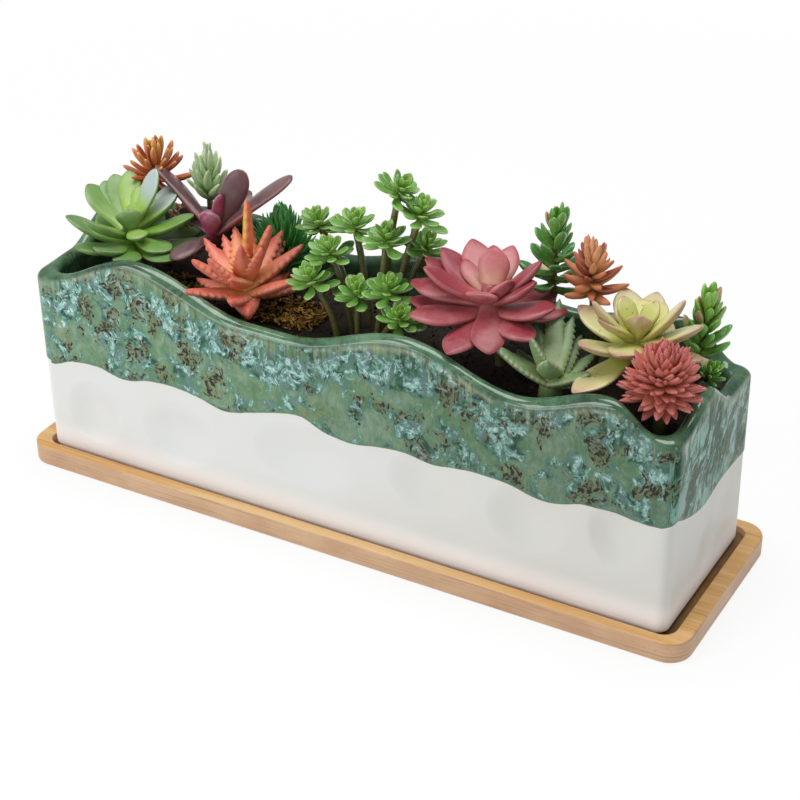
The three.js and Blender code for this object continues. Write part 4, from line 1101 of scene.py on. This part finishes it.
brownStem = [(0.3, "#5E5B34"), (0.5, "#7D7A48"), (0.7, "#6B4A33")]

looks = {
    "green_rosette": {
        "upper": [(0.0, "#92B23C"), (0.35, "#6F9C3A"), (0.7, "#5F8A3E"), (1.0, "#688F4E")],
        "inner": [(0.0, "#B4C944"), (0.4, "#9ABC44"), (0.8, "#8BB24E"), (1.0, "#8BA95F")],
        "under": [(0.0, "#8BAA44"), (0.5, "#6F9844"), (1.0, "#6C9250")],
        "edge": ["#A6BB7A", 0.86, 1.0, 0.4], "tip": ["#7C5E48", 0.965, 1.0, 0.8], "bloom": ["#9DB48C", 0.25],
        # painted sheen: the white shine on a few of the rosette's leaves is painted as a film
        "filmAndSheen": ["#B4C0C2", 0.94, 0.99], "stem": brownStem, "gloss": 0.36, "glow": 0.15,
    },
    "pink_rosette": {
        "upper": [(0.0, "#BC9078"), (0.28, "#AE565A"), (0.65, "#953642"), (1.0, "#90303D")],
        "inner": [(0.0, "#C0AC72"), (0.3, "#D0A48E"), (0.65, "#C67A78"), (1.0, "#A93F4C")],
        "inwardFrom": (0.55, 1.0),
        # The undersides are painted deeper: partly their own colour, partly painted shade under the petals.
        "under": [(0.0, "#A86C60"), (0.45, "#96404A"), (1.0, "#88303D")],
        "edge": ["#C67C78", 0.8, 1.0, 0.4], "bloom": ["#C28684", 0.3], "stem": brownStem, "gloss": 0.4, "glow": 0.12,
        "waver": 0.4,
    },
    "yellow_rosette": {
        "upper": [(0.0, "#A9B53A"), (0.3, "#C4C76C"), (0.7, "#D2CE94"), (1.0, "#C5A88E")],
        "inner": [(0.0, "#A8BA30"), (0.4, "#C6CA62"), (0.8, "#D6D48E"), (1.0, "#D0C38C")],
        "under": [(0.0, "#AEB448"), (0.5, "#C2BE70"), (1.0, "#B39478")],
        "other": [(0.0, "#A8AA4A"), (0.4, "#BBA078"), (1.0, "#A97668")], "otherFrom": (0.62, 0.8),
        "edge": ["#B18C76", 0.78, 1.0, 0.45], "tip": ["#A5736C", 0.9, 1.0, 0.5], "speck": ["#5C4434", 2.4, 0.8],
        "stem": brownStem, "gloss": 0.34, "glow": 0.3,
    },
    "coral_aloe": {
        "upper": [(0.0, "#D8AA48"), (0.25, "#DF965C"), (0.55, "#E27A66"), (1.0, "#D86258")],
        "inner": [(0.0, "#DAB048"), (0.4, "#E09C54"), (0.8, "#E37A58"), (1.0, "#DA6450")],
        "other": [(0.0, "#C98A34"), (0.35, "#E0A030"), (0.75, "#E6A838"), (1.0, "#DA7434")], "otherFrom": (0.93, 0.98),
        "under": [(0.0, "#CC8A44"), (0.4, "#D26A4E"), (1.0, "#C15040")], "underShare": 0.8,
        "edge": ["#E0A27C", 0.88, 1.0, 0.6], "speck": ["#A8443A", 1.6, 0.4], "bloom": ["#E0957C", 0.35],
        "stem": brownStem, "gloss": 0.42, "glow": 0.15,
    },
    "pale_toothed_aloe": {
        "upper": [(0.0, "#9CAA6A"), (0.4, "#7E9962"), (1.0, "#6D895B")],
        "under": [(0.0, "#8AA062"), (1.0, "#658257")],
        "edge": ["#C2C6A2", 0.86, 1.0, 0.6], "tip": ["#8C6C52", 0.95, 1.0, 0.7], "speck": ["#45432F", 1.5, 0.85],
        "bloom": ["#A6B894", 0.3], "stem": brownStem, "gloss": 0.42,
    },
    "purple_paddle_plant": {
        "upper": [(0.0, "#885258"), (0.3, "#6A464A"), (0.7, "#5F4144"), (1.0, "#764D51")],
        "under": [(0.0, "#A04C6A"), (0.5, "#984060"), (1.0, "#883454")],
        "other": [(0.0, "#8C4462"), (0.6, "#A65C80"), (1.0, "#9C527A")], "otherFrom": (0.93, 0.98),
        "edge": ["#AE908A", 0.88, 1.0, 0.7], "bloom": ["#86706E", 0.4], "stem": [(0.3, "#5E3A48"), (0.7, "#734A44")],
        "gloss": 0.34,
    },
    "red_spiky_ball": {
        "upper": [(0.0, "#A05C40"), (0.4, "#CC7A5E"), (0.8, "#D07866"), (1.0, "#C4646A")],
        "inner": [(0.0, "#BA763F"), (0.4, "#DC945E"), (0.8, "#DA8868"), (1.0, "#CC6E70")],
        "under": [(0.0, "#9A583E"), (0.6, "#C07058"), (1.0, "#C0645E")],
        "tip": ["#BC6E74", 0.84, 1.0, 0.5], "edge": ["#D0918A", 0.8, 1.0, 0.55], "bloom": ["#C88A7E", 0.35],
        "stem": brownStem, "gloss": 0.46,
    },
    "jelly_bean_cluster": {
        "upper": [(0.0, "#A6CC58"), (0.35, "#7CB04C"), (0.8, "#6EA24A"), (1.0, "#84AF5C")],
        "inner": [(0.0, "#B6D45A"), (0.5, "#92BE50"), (1.0, "#86B354")],
        "edge": ["#B6CC8E", 0.78, 1.0, 0.75], "tip": ["#B0C48A", 0.9, 1.0, 0.55],
        "stem": [(0.3, "#4F532F"), (0.5, "#787848"), (0.7, "#64503A")], "gloss": 0.3, "coat": 0.2, "glow": 0.2,
    },
    "tall_green_sedum": {
        "upper": [(0.0, "#88B34C"), (0.5, "#559544"), (1.0, "#498644")],
        "inner": [(0.0, "#A6C552"), (0.6, "#6BA444"), (1.0, "#669C48")],
        "other": [(0.0, "#A0A052"), (0.6, "#B09A62"), (1.0, "#AE7460")], "otherFrom": (0.84, 0.9),
        "edge": ["#95B86A", 0.82, 1.0, 0.5], "stem": brownStem, "gloss": 0.26, "coat": 0.3, "glow": 0.2,
    },
    "peach_sedum": {
        "upper": [(0.0, "#BCA05C"), (0.35, "#DE9C6C"), (1.0, "#D27E5C")],
        "inner": [(0.0, "#D8BE78"), (0.5, "#E6B484"), (1.0, "#DC9870")],
        "other": [(0.0, "#8A4434"), (1.0, "#9C4A3C")], "otherFrom": (0.84, 0.9),
        "edge": ["#DCA986", 0.82, 1.0, 0.4], "tip": ["#AE5442", 0.9, 1.0, 0.5], "stem": brownStem, "gloss": 0.4,
        "glow": 0.2,
    },
    "orange_sedum": {
        "upper": [(0.0, "#AE7844"), (0.4, "#C87044"), (0.8, "#C26640"), (1.0, "#D29A5C")],
        "inner": [(0.0, "#C69040"), (0.5, "#DA8846"), (1.0, "#E6B868")],
        "other": [(0.0, "#96482C"), (1.0, "#A64C30")], "otherFrom": (0.82, 0.9),
        "edge": ["#E0AE6C", 0.8, 1.0, 0.4], "tip": ["#E2C078", 0.88, 1.0, 0.5], "stem": brownStem, "gloss": 0.42,
        "glow": 0.2,
    },
    "mint_sedum": {
        "upper": [(0.0, "#93BA6E"), (0.5, "#A9C98C"), (1.0, "#C4D9AE")],
        "inner": [(0.0, "#A6C87C"), (0.5, "#BDD8A0"), (1.0, "#D4E4C0")],
        "edge": ["#D0DEBC", 0.8, 1.0, 0.5], "tip": ["#D8E0C2", 0.86, 1.0, 0.6], "bloom": ["#C2D6AE", 0.25],
        "stem": brownStem, "gloss": 0.42, "glow": 0.3,
    },
    "green_sedum": {
        "upper": [(0.0, "#8CBC48"), (0.5, "#62A63E"), (1.0, "#68A84A")],
        "inner": [(0.0, "#A6CC52"), (0.6, "#82B84A"), (1.0, "#86B854")],
        "other": [(0.0, "#9CA258"), (1.0, "#B47C6C")], "otherFrom": (0.9, 0.95),
        "edge": ["#A8CC80", 0.82, 1.0, 0.45], "stem": brownStem, "gloss": 0.3, "coat": 0.2, "glow": 0.25,
    },
    "dark_green_tuft": {
        "upper": [(0.0, "#70AC4E"), (0.5, "#469A4A"), (1.0, "#3A8C45")],
        "inner": [(0.0, "#8CC25C"), (0.5, "#5CAA58"), (1.0, "#4A9C52")],
        "edge": ["#6AA65C", 0.82, 1.0, 0.5], "stem": brownStem, "gloss": 0.3, "coat": 0.2, "glow": 0.2,
    },
}

slots = {
    "green_rosette": "green_leaf", "pink_rosette": "pink_leaf", "yellow_rosette": "yellow_leaf",
    "coral_aloe": "coral_leaf", "pale_toothed_aloe": "pale_leaf", "purple_paddle_plant": "purple_leaf",
    "red_spiky_ball": "red_leaf", "jelly_bean_cluster": "jelly_leaf", "tall_green_sedum": "tall_sedum_leaf",
    "peach_sedum": "peach_leaf", "orange_sedum": "orange_leaf", "mint_sedum": "mint_leaf",
    "green_sedum": "green_sedum_leaf", "dark_green_tuft": "tuft_leaf",
}

# ---- plants whose leaves are set one by one: [bearing, lift, length, width, thickness, roll] ----

placedPlants = {
    "green_rosette": {
        "at": [-0.829, -0.278], "stem": 4.5, "foot": [1, 6], "head": [0, 0, 22.3], "core": [3.2, 5.5, -8, 7],
        "pick": [9, 22], "form": "spoon", "thick": 4.4, "cup": 0.14, "marked": [15, 17, 18],
        "layers": [
            [-4, 24, [[-150, 26, 31, 13], [-105, 16, 31, 13.5], [-85, 18, 28, 13], [-61, 10, 30, 12.5],
                      [-17, 5, 30, 13], [16, 6, 34, 13], [58, -1, 33, 13.5], [105, 4, 31, 13], [150, 6, 31, 13]]],
            [0, 20, [[-103, 33, 29, 13], [169, 33, 31, 13.5], [151, 33, 30, 12], [141, 37, 31, 12.5],
                     [24, 20, 30, 14], [-11, 0, 24, 13], [69, 33, 31, 13]]],
            [3, 16, [[124, 34, 30, 10.5], [58, 61, 29, 13], [53, 31, 26, 12], [111, 35, 22, 7],
                     [-38, 8, 15, 10], [-52, 68, 12, 12.5, 7], [96, 42, 13, 11]]],
        ],
    },
    "pink_rosette": {
        "at": [0.39, -0.278], "stem": 4.5, "foot": [1, 9], "head": [0, 0, 33.6], "core": [3.2, 5.5, -8, 8],
        "pick": [12, 22], "form": "petal", "thick": 5, "cup": 0.08,
        "layers": [
            [-4, 14, [[-95, -10, 31, 14], [-28, 0, 29, 14], [-132, 7, 34, 14.5],
                      [-176, -3, 35, 14], [61, -2, 33, 14], [-5, 18, 31, 15], [25, 2, 31, 14], [105, 0, 32, 14],
                      [147, 0, 33, 14]]],
            [0, 16, [[-63, -16, 29, 14], [-174, 5, 34, 14], [-147, 32, 31, 13], [173, 19, 33, 13.5],
                     [162, 27, 31, 12], [20, 44, 28, 13], [0, 34, 24, 13]]],
            [2, 18, [[135, 31, 28, 13], [114, 26, 26, 12], [93, 29, 26, 11], [-86, 30, 15, 13.5],
                     [155, 30, 20, 9.5], [100, 70, 20, 13, 7.5], [-22, 46, 17, 10.5]]],
        ],
    },
    "yellow_rosette": {
        "at": [0.808, -0.039], "stem": 4.5, "foot": [0, 0], "head": [0, 0, 26.8], "core": [3, 5, -8, 6],
        "pick": [4.5, 20], "form": "petal", "thick": 3.8, "cup": 0.16,
        "layers": [
            [-3, 20, [[-120, 21, 30, 13], [-109, -8, 36, 14], [-11, 12, 31, 13], [42, -19, 37, 14],
                      [170, 20, 30, 13], [88, -2, 30, 13], [130, 0, 31, 13]]],
            [0, 22, [[-134, 48, 29, 12.5], [125, 21, 29, 13], [97, 20, 28, 12], [5, 51, 29, 12.5],
                     [-2, 29, 31, 13.5], [-88, 14, 22, 14]]],
            [3, 18, [[-123, 34, 22, 11], [124, 12, 20, 10.5], [106, 16, 21, 11], [84, 14, 22, 10.5],
                     [150, 50, 17, 9], [62, 55, 16, 9], [-65, 66, 13, 10.5, 6]]],
        ],
    },
    "coral_aloe": {
        "at": [-0.39, -0.487], "stem": 5, "foot": [0, 0], "head": [0, 0, 15.6], "core": [3.5, 5, -8, 6],
        "pick": [4.5, 20], "form": "lance", "thick": 5, "cup": 0.1, "teeth": {"count": 9, "size": 2.1},
        "rings": 42, "around": 14, "marked": [21],
        "layers": [
            [-3, 12, [[-122, 17, 28, 10], [174, -2, 27, 9.5], [77, -1, 27, 9.5], [2, 26, 28, 9.5],
                      [-72, 17, 22, 10], [125, -2, 28, 9.5], [38, 4, 28, 9.5], [-52, -4, 18, 11, 8]]],
            [0, 10, [[-130, 38, 28, 10], [-112, 48, 26, 9.5], [162, 27, 30, 9.5], [83, 20, 30, 9.5],
                     [82, 32, 31, 9.5], [143, 27, 29, 9], [40, 34, 31, 9.5]]],
            [2, 8, [[131, 28, 30, 9], [115, 30, 31, 9], [15, 66, 31, 9], [-15, 60, 24, 9], [-75, 31, 19, 9],
                    [-58, 67, 25, 9], [28, 86, 38.5, 10]]],
        ],
    },
    "pale_toothed_aloe": {
        "at": [0.617, -0.606], "stem": 6, "foot": [0, 0], "head": [0, 0, 11.6], "core": [3.5, 5, -7, 5],
        "pick": [4.5, 18], "form": "lance", "thick": 4.6, "cup": 0.14, "teeth": {"count": 11, "size": 1.9},
        "rings": 40, "around": 14,
        "layers": [
            [0, 16, [[-158, 35, 27, 10], [83, 25, 25, 9], [68, 10, 24, 9.5], [-10, 30, 21, 9.5],
                     [150, 8, 24, 9.5], [25, 8, 24, 9.5]]],
            [3, 10, [[135, 28, 24, 9], [95, 31, 28, 9], [-125, 64, 21, 10], [109, 34, 34, 10], [-71, 48, 18, 10]]],
        ],
    },
    "purple_paddle_plant": {
        "at": [-0.583, 0.11], "stem": 5, "foot": [0, 0], "head": [0, 0, 24.8], "core": [3, 3.5, -5, 4],
        "pick": [4.5, 20], "form": "paddle", "thick": 4.6, "cup": 0.05, "marked": [6, 7],
        "layers": [
            [0, -10, [[158, 25, 45, 13.5, 4.6, 35], [-2, 60, 36, 11.5, 4.6, 100], [5, 41, 51, 13, 4.6, 12],
                      [157, 8, 26, 11], [-104, -6, 25, 10], [80, 30, 26, 11], [-78, 62, 16, 9, 9], [-29, 72, 23, 5.5]]],
        ],
    },
}


def rootPatches(foot, at, stem, pick):
    path = stemPath(foot, at)
    ribs = 1 + 0.05 * np.sin(np.arange(16) * 2.1)
    stalk = tubePatch(path, stem / 2 * ribs)
    spots = [[0, 0, -pick[1]], [0, 0, -pick[1] + 1], [0, 0, -2.6], [0, 0, -2]]
    cone = tubePatch(spots, [1.5, 1.9, pick[0] - 0.3, pick[0] - 0.8], 20)
    return [stalk, cone]


def plantSpot(at):
    return np.array([at[0] * insideLength, at[1] * insideWidth, pot["soil"]]) + potShift


for number, (name, plant) in enumerate(placedPlants.items()):
    leaves = joined(placedHead(plant, plant["form"], number * 31 + 3))
    top, bottomRadius, low, high = plant["core"]
    core = tubePatch([[0, 0, low], [0, 0, (low + high) / 2], [0, 0, high]], [bottomRadius, (top + bottomRadius) / 2, top], 16,
                    layer=0.0)
    crown = moved(joined([leaves, core]), np.eye(3), plant["head"])
    whole = joined([crown, *rootPatches(plant["foot"], plant["head"], plant["stem"], plant["pick"])])
    item = makeObject(name + "_leaves", moved(whole, np.eye(3), plantSpot(plant["at"])), leafMaterial(name, looks[name]))
    place(item, "pot", slots[name], name)
print("placed plants made")


# ---- plants with heads of many small leaves ----

# Leaves as [outline, width, thickness] shares of their length. A head is [place, size, height, tiers, lean].
smallPlants = {
    "tall_green_sedum": {
        "at": [0.495, 0.53], "stem": 3, "pick": [4, 20], "leaf": ["spoon", 0.4, 0.22], "length": 0.64, "per": 5,
        "lift": [4, 68], "grow": [1.0, 0.66], "spread": [-0.5, 0.34], "ease": 1.2,
        "heads": [[[0, 0, 48], 24, 36, 6, [-62, 4]], [[-12, 3, 23], 13, 10, 3, [180, 22]]]},
    "peach_sedum": {
        "at": [0.635, 0.41], "stem": 3, "pick": [4, 20], "leaf": ["blade", 0.29, 0.23], "length": 0.53, "per": 9,
        "lift": [0, 76], "grow": [0.95, 0.66], "spread": [-0.5, 0.3], "ease": 1.3,
        "heads": [[[-2, 0, 45], 28, 22, 5, [-62, 6]], [[12, -3, 22], 14, 9, 3, [0, 26]]]},
    "orange_sedum": {
        "at": [-0.856, 0.59], "stem": 3, "pick": [4, 20], "leaf": ["finger", 0.18, 0.16], "length": 0.56, "per": 9,
        "lift": [0, 80], "grow": [1.0, 0.8], "spread": [-0.34, 0.16], "ease": 1.1,
        "heads": [[[-2, 0, 40], 31, 16, 4, [-62, 6]], [[11, 0, 21], 14, 9, 3, [0, 22]]]},
    "mint_sedum": {
        "at": [-0.675, 0.59], "stem": 3, "pick": [4, 20], "leaf": ["blade", 0.25, 0.17], "length": 0.6, "per": 8,
        "lift": [34, 84], "grow": [1.0, 0.84], "spread": [-0.4, 0.26], "ease": 1.1,
        "heads": [[[0, 0, 41], 27, 22, 5, [-62, 6]], [[13, 1, 25], 14, 9, 3, [0, 30]]]},
    "green_sedum": {
        "at": [0.93, 0.41], "stem": 3, "pick": [4, 18], "leaf": ["spoon", 0.31, 0.22], "length": 0.62, "per": 6,
        "lift": [30, 66], "grow": [1.05, 0.76], "spread": [-0.5, 0.34], "ease": 1.2,
        "heads": [[[4, 0, 32], 22, 26, 5, [0, 6]], [[10, -6, 16], 12, 8, 3, [-30, 28]]]},
}

for number, (name, plant) in enumerate(smallPlants.items()):
    material = leafMaterial(name, looks[name])
    form, wide, deep = plant["leaf"]
    patches = []
    for order, (at, size, tall, count, lean) in enumerate(plant["heads"]):
        length = size * plant["length"]
        leaf = {"form": form, "length": length, "width": length * wide, "thick": length * deep, "curl": 24 * deg,
                "cup": 0.12, "rings": 9, "around": 8, "seed": number}
        values = {"Count": count * plant["per"], "Turn": at[0] * 0.3, "Lift Low": plant["lift"][0] * deg,
                  "Lift High": plant["lift"][1] * deg, "Height Low": tall * plant["spread"][0] * 1e-3,
                  "Height High": tall * plant["spread"][1] * 1e-3, "Scale Low": plant["grow"][0],
                  "Scale High": plant["grow"][1], "Radius": 0.0002, "Ease": plant["ease"], "Shake": 0.14,
                  "Seed": number * 10 + order}
        head = moved(grownHead(leaf, values, material), leanOver(lean), at)
        patches += [head, tubePatch(stemPath([0, 0], at), np.full(16, plant["stem"] / 2 - 0.2), 10)]
        middle = np.array(at, float)
        rod = tubePatch([middle - [0, 0, tall * 0.55], middle, middle + [0, 0, tall * 0.36]], [1.4, 1.5, 0.9], 8)
        patches.append(moved(moved(rod, np.eye(3), -middle), leanOver(lean), middle))
    patches += rootPatches([0, 0], [0, 0, 6], plant["stem"], plant["pick"])[1:]
    whole = moved(joined(patches), np.eye(3), plantSpot(plant["at"]))
    place(makeObject(name + "_leaves", whole, material), "pot", slots[name], name)

denseHeads = {
    "dark_green_tuft": {"at": [-0.397, 0.47], "stem": 5, "pick": [4.5, 18], "head": [0, 0, 22], "lean": [0, 0],
                        "leaf": ["blade", 18, 2.8, 1.5, 44], "count": 150, "lift": [0, 74], "height": [-10, 5]},
    "red_spiky_ball": {"at": [0.935, -0.56], "stem": 5, "pick": [4.5, 20], "head": [0, 0, 25], "lean": [-62, 12],
                       "leaf": ["blade", 16, 5.4, 2.4, 26], "count": 185, "lift": [-22, 84], "height": [-6, 5]},
}

for number, (name, plant) in enumerate(denseHeads.items()):
    material = leafMaterial(name, looks[name])
    form, length, width, thick, curl = plant["leaf"]
    leaf = {"form": form, "length": length, "width": width, "thick": thick, "curl": curl * deg, "cup": 0.05,
            "rings": 9, "around": 8, "seed": 40 + number}
    values = {"Count": plant["count"], "Turn": 0.4, "Lift Low": plant["lift"][0] * deg, "Lift High": plant["lift"][1] * deg,
              "Height Low": plant["height"][0] * 1e-3, "Height High": plant["height"][1] * 1e-3, "Scale Low": 1.0,
              "Scale High": 0.78, "Radius": 0.0008, "Ease": 1.1, "Shake": 0.1, "Seed": 77 + number}
    head = moved(grownHead(leaf, values, material), leanOver(plant["lean"]), plant["head"])
    patches = [head, *rootPatches([0, 0], plant["head"], plant["stem"], plant["pick"])]
    whole = moved(joined(patches), np.eye(3), plantSpot(plant["at"]))
    place(makeObject(name + "_leaves", whole, material), "pot", slots[name], name)

jelly = {
    "at": [-0.013, -0.188], "stem": 2.8, "pick": [13, 24], "size": 23,
    "heads": [
        [[-32, 15, 40], [-9, 6], 10, [180, 10], 1], [[-13, 13, 44], [-4, 8], 40, [0, 4], 1],
        [[-19, 2, 35], [-8, 0], 70, [-90, 10], 1], [[-22, -8, 26], [-11, -6], 15, [-100, 12], 1],
        [[7, 4, 46], [4, 4], 50, [-60, 8], 1], [[10, 10, 66], [2, 9], 30, [0, 30], 1],
        [[20, 10, 58], [8, 8], 5, [0, 14], 1], [[20, 14, 41], [9, 9], 60, [0, 24], 1],
        [[-1, -6, 24], [-2, -5], 35, [-90, 14], 1], [[14, -6, 29], [6, -4], 80, [-60, 14], 1],
        [[23, -14, 22], [9, -7], 20, [-50, 20], 0.9],
    ],
}
jellyMaterial = leafMaterial("jelly_bean_cluster", looks["jelly_bean_cluster"])
patches = []
for number, (at, foot, turn, lean, share) in enumerate(jelly["heads"]):
    size = jelly["size"] * share
    leaf = {"form": "spoon", "length": size * 0.53, "width": size * 0.235, "thick": size * 0.085, "curl": 26 * deg,
            "cup": 0.2, "rings": 12, "around": 10, "seed": 60 + number}
    values = {"Count": 24, "Turn": turn * deg, "Lift Low": -8 * deg, "Lift High": 66 * deg,
              "Height Low": -size * 0.14e-3, "Height High": size * 0.12e-3, "Scale Low": 1.0, "Scale High": 0.42,
              "Radius": 0.0003, "Ease": 1.3, "Shake": 0.1, "Seed": 200 + number}
    head = moved(grownHead(leaf, values, jellyMaterial), leanOver(lean), at)
    ribs = 1 + 0.09 * np.abs(np.sin(np.arange(22) * 1.4))
    stalk = tubePatch(stemPath(foot, [at[0], at[1], at[2] - 1], 22), jelly["stem"] / 2 * ribs, 10)
    patches += [head, stalk]
patches += rootPatches([0, 0], [0, 0, 4], jelly["stem"], jelly["pick"])[1:]
whole = moved(joined(patches), np.eye(3), plantSpot(jelly["at"]))
place(makeObject("jelly_bean_cluster_leaves", whole, jellyMaterial), "pot", slots["jelly_bean_cluster"], "jelly_bean_cluster")
print("small plants made")


# ---- floor, light and camera ----

def floorMaterial():
    material, tree, shader = newMaterial("pale floor")
    spot = addNode(tree, "ShaderNodeTexCoord").outputs["Object"]
    tint = blend(tree, noise(tree, spot, 400, 2), (0.90, 0.90, 0.90, 1), (0.92, 0.92, 0.92, 1))
    tree.links.new(tint, shader.inputs["Base Color"])
    shader.inputs["Roughness"].default_value = 0.8
    # Seen by the camera it is mostly plain white, and keeps part of the planter's shadow.
    rays = addNode(tree, "ShaderNodeLightPath").outputs
    seen = calc(tree, "MAXIMUM", rays["Is Camera Ray"], rays["Is Glossy Ray"])
    seen = calc(tree, "MAXIMUM", seen, rays["Is Transmission Ray"])
    white = addNode(tree, "ShaderNodeEmission", {"Color": (1, 1, 1, 1), "Strength": 1.0}).outputs[0]
    away = addNode(tree, "ShaderNodeVectorMath", {0: spot}, operation="LENGTH").outputs["Value"]
    factor = calc(tree, "MULTIPLY", seen, remap(tree, away, 0.3, 0.8, 0.86, 1.0))
    both = addNode(tree, "ShaderNodeMixShader", {0: factor, 1: shader.outputs[0], 2: white}).outputs[0]
    tree.links.new(both, tree.nodes["Material Output"].inputs[0])
    return material


bpy.ops.mesh.primitive_plane_add(size=8, location=(0, 0, 0))
floor = bpy.context.object
floor.name = "floor"
floor.data.materials.append(floorMaterial())
floor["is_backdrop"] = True

world = bpy.data.worlds.new("studio")
bpy.context.scene.world = world
world.use_nodes = True
tree = world.node_tree
tree.nodes.clear()
rays = addNode(tree, "ShaderNodeLightPath").outputs
seen = addNode(tree, "ShaderNodeBackground", {"Color": (1, 1, 1, 1), "Strength": 1.0})
around = addNode(tree, "ShaderNodeBackground", {"Color": (0.93, 0.96, 1, 1), "Strength": 0.29})
direct = calc(tree, "MAXIMUM", rays["Is Camera Ray"], rays["Is Transmission Ray"])
both = addNode(tree, "ShaderNodeMixShader", {0: direct, 1: around.outputs[0], 2: seen.outputs[0]})
final = tree.nodes.new("ShaderNodeOutputWorld")
tree.links.new(both.outputs[0], final.inputs[0])


def softLight(name, spot, target, size, power, tint=(1, 1, 1)):
    light = bpy.data.lights.new(name, "AREA")
    light.shape = "RECTANGLE"
    light.size, light.size_y = size
    light.energy = power
    light.color = tint
    item = bpy.data.objects.new(name, light)
    item.location = spot
    item.rotation_euler = (Vector(target) - Vector(spot)).to_track_quat("-Z", "Y").to_euler()
    bpy.context.scene.collection.objects.link(item)


softLight("overhead", (-0.1, 0.1, 1.5), (0, 0, 0.05), (1.3, 0.9), 18.5)
softLight("front left", (-0.9, -1.3, 1.0), (0, 0, 0.06), (0.7, 0.7), 7.2)
softLight("low front", (-0.7, -1.3, 0.3), (0, 0, 0.03), (0.8, 0.4), 3.2)
softLight("right", (1.4, -0.3, 0.6), (0, 0, 0.06), (0.4, 0.8), 2.2)

photoView = {"azimuth": 29.7224, "elevation": 31.0406, "roll": -0.7737, "spot": (0.36859, -0.63110, 0.49160), "lens": 89.823}


def makeCamera():
    data = bpy.data.cameras.new("photo camera")
    data.lens = photoView["lens"]
    data.sensor_width = 36
    data.sensor_fit = "HORIZONTAL"
    data.clip_start, data.clip_end = 0.01, 50
    item = bpy.data.objects.new("photo camera", data)
    a, e, r = (photoView[key] * deg for key in ("azimuth", "elevation", "roll"))
    back = Vector((math.sin(a) * math.cos(e), -math.cos(a) * math.cos(e), math.sin(e)))
    right = Vector((math.cos(a), math.sin(a), 0))
    up = back.cross(right)
    across = right * math.cos(r) + up * math.sin(r)
    above = up * math.cos(r) - right * math.sin(r)
    turn = Matrix((across, above, back)).transposed()
    item.matrix_world = Matrix.Translation(photoView["spot"]) @ turn.to_4x4()
    bpy.context.scene.collection.objects.link(item)
    bpy.context.scene.camera = item


makeCamera()
scene = bpy.context.scene
scene.view_settings.view_transform = "Standard"
print("stage made")

low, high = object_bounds()
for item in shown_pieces():
    print(item.name, sum(len(face.vertices) - 2 for face in item.data.polygons), "triangles")
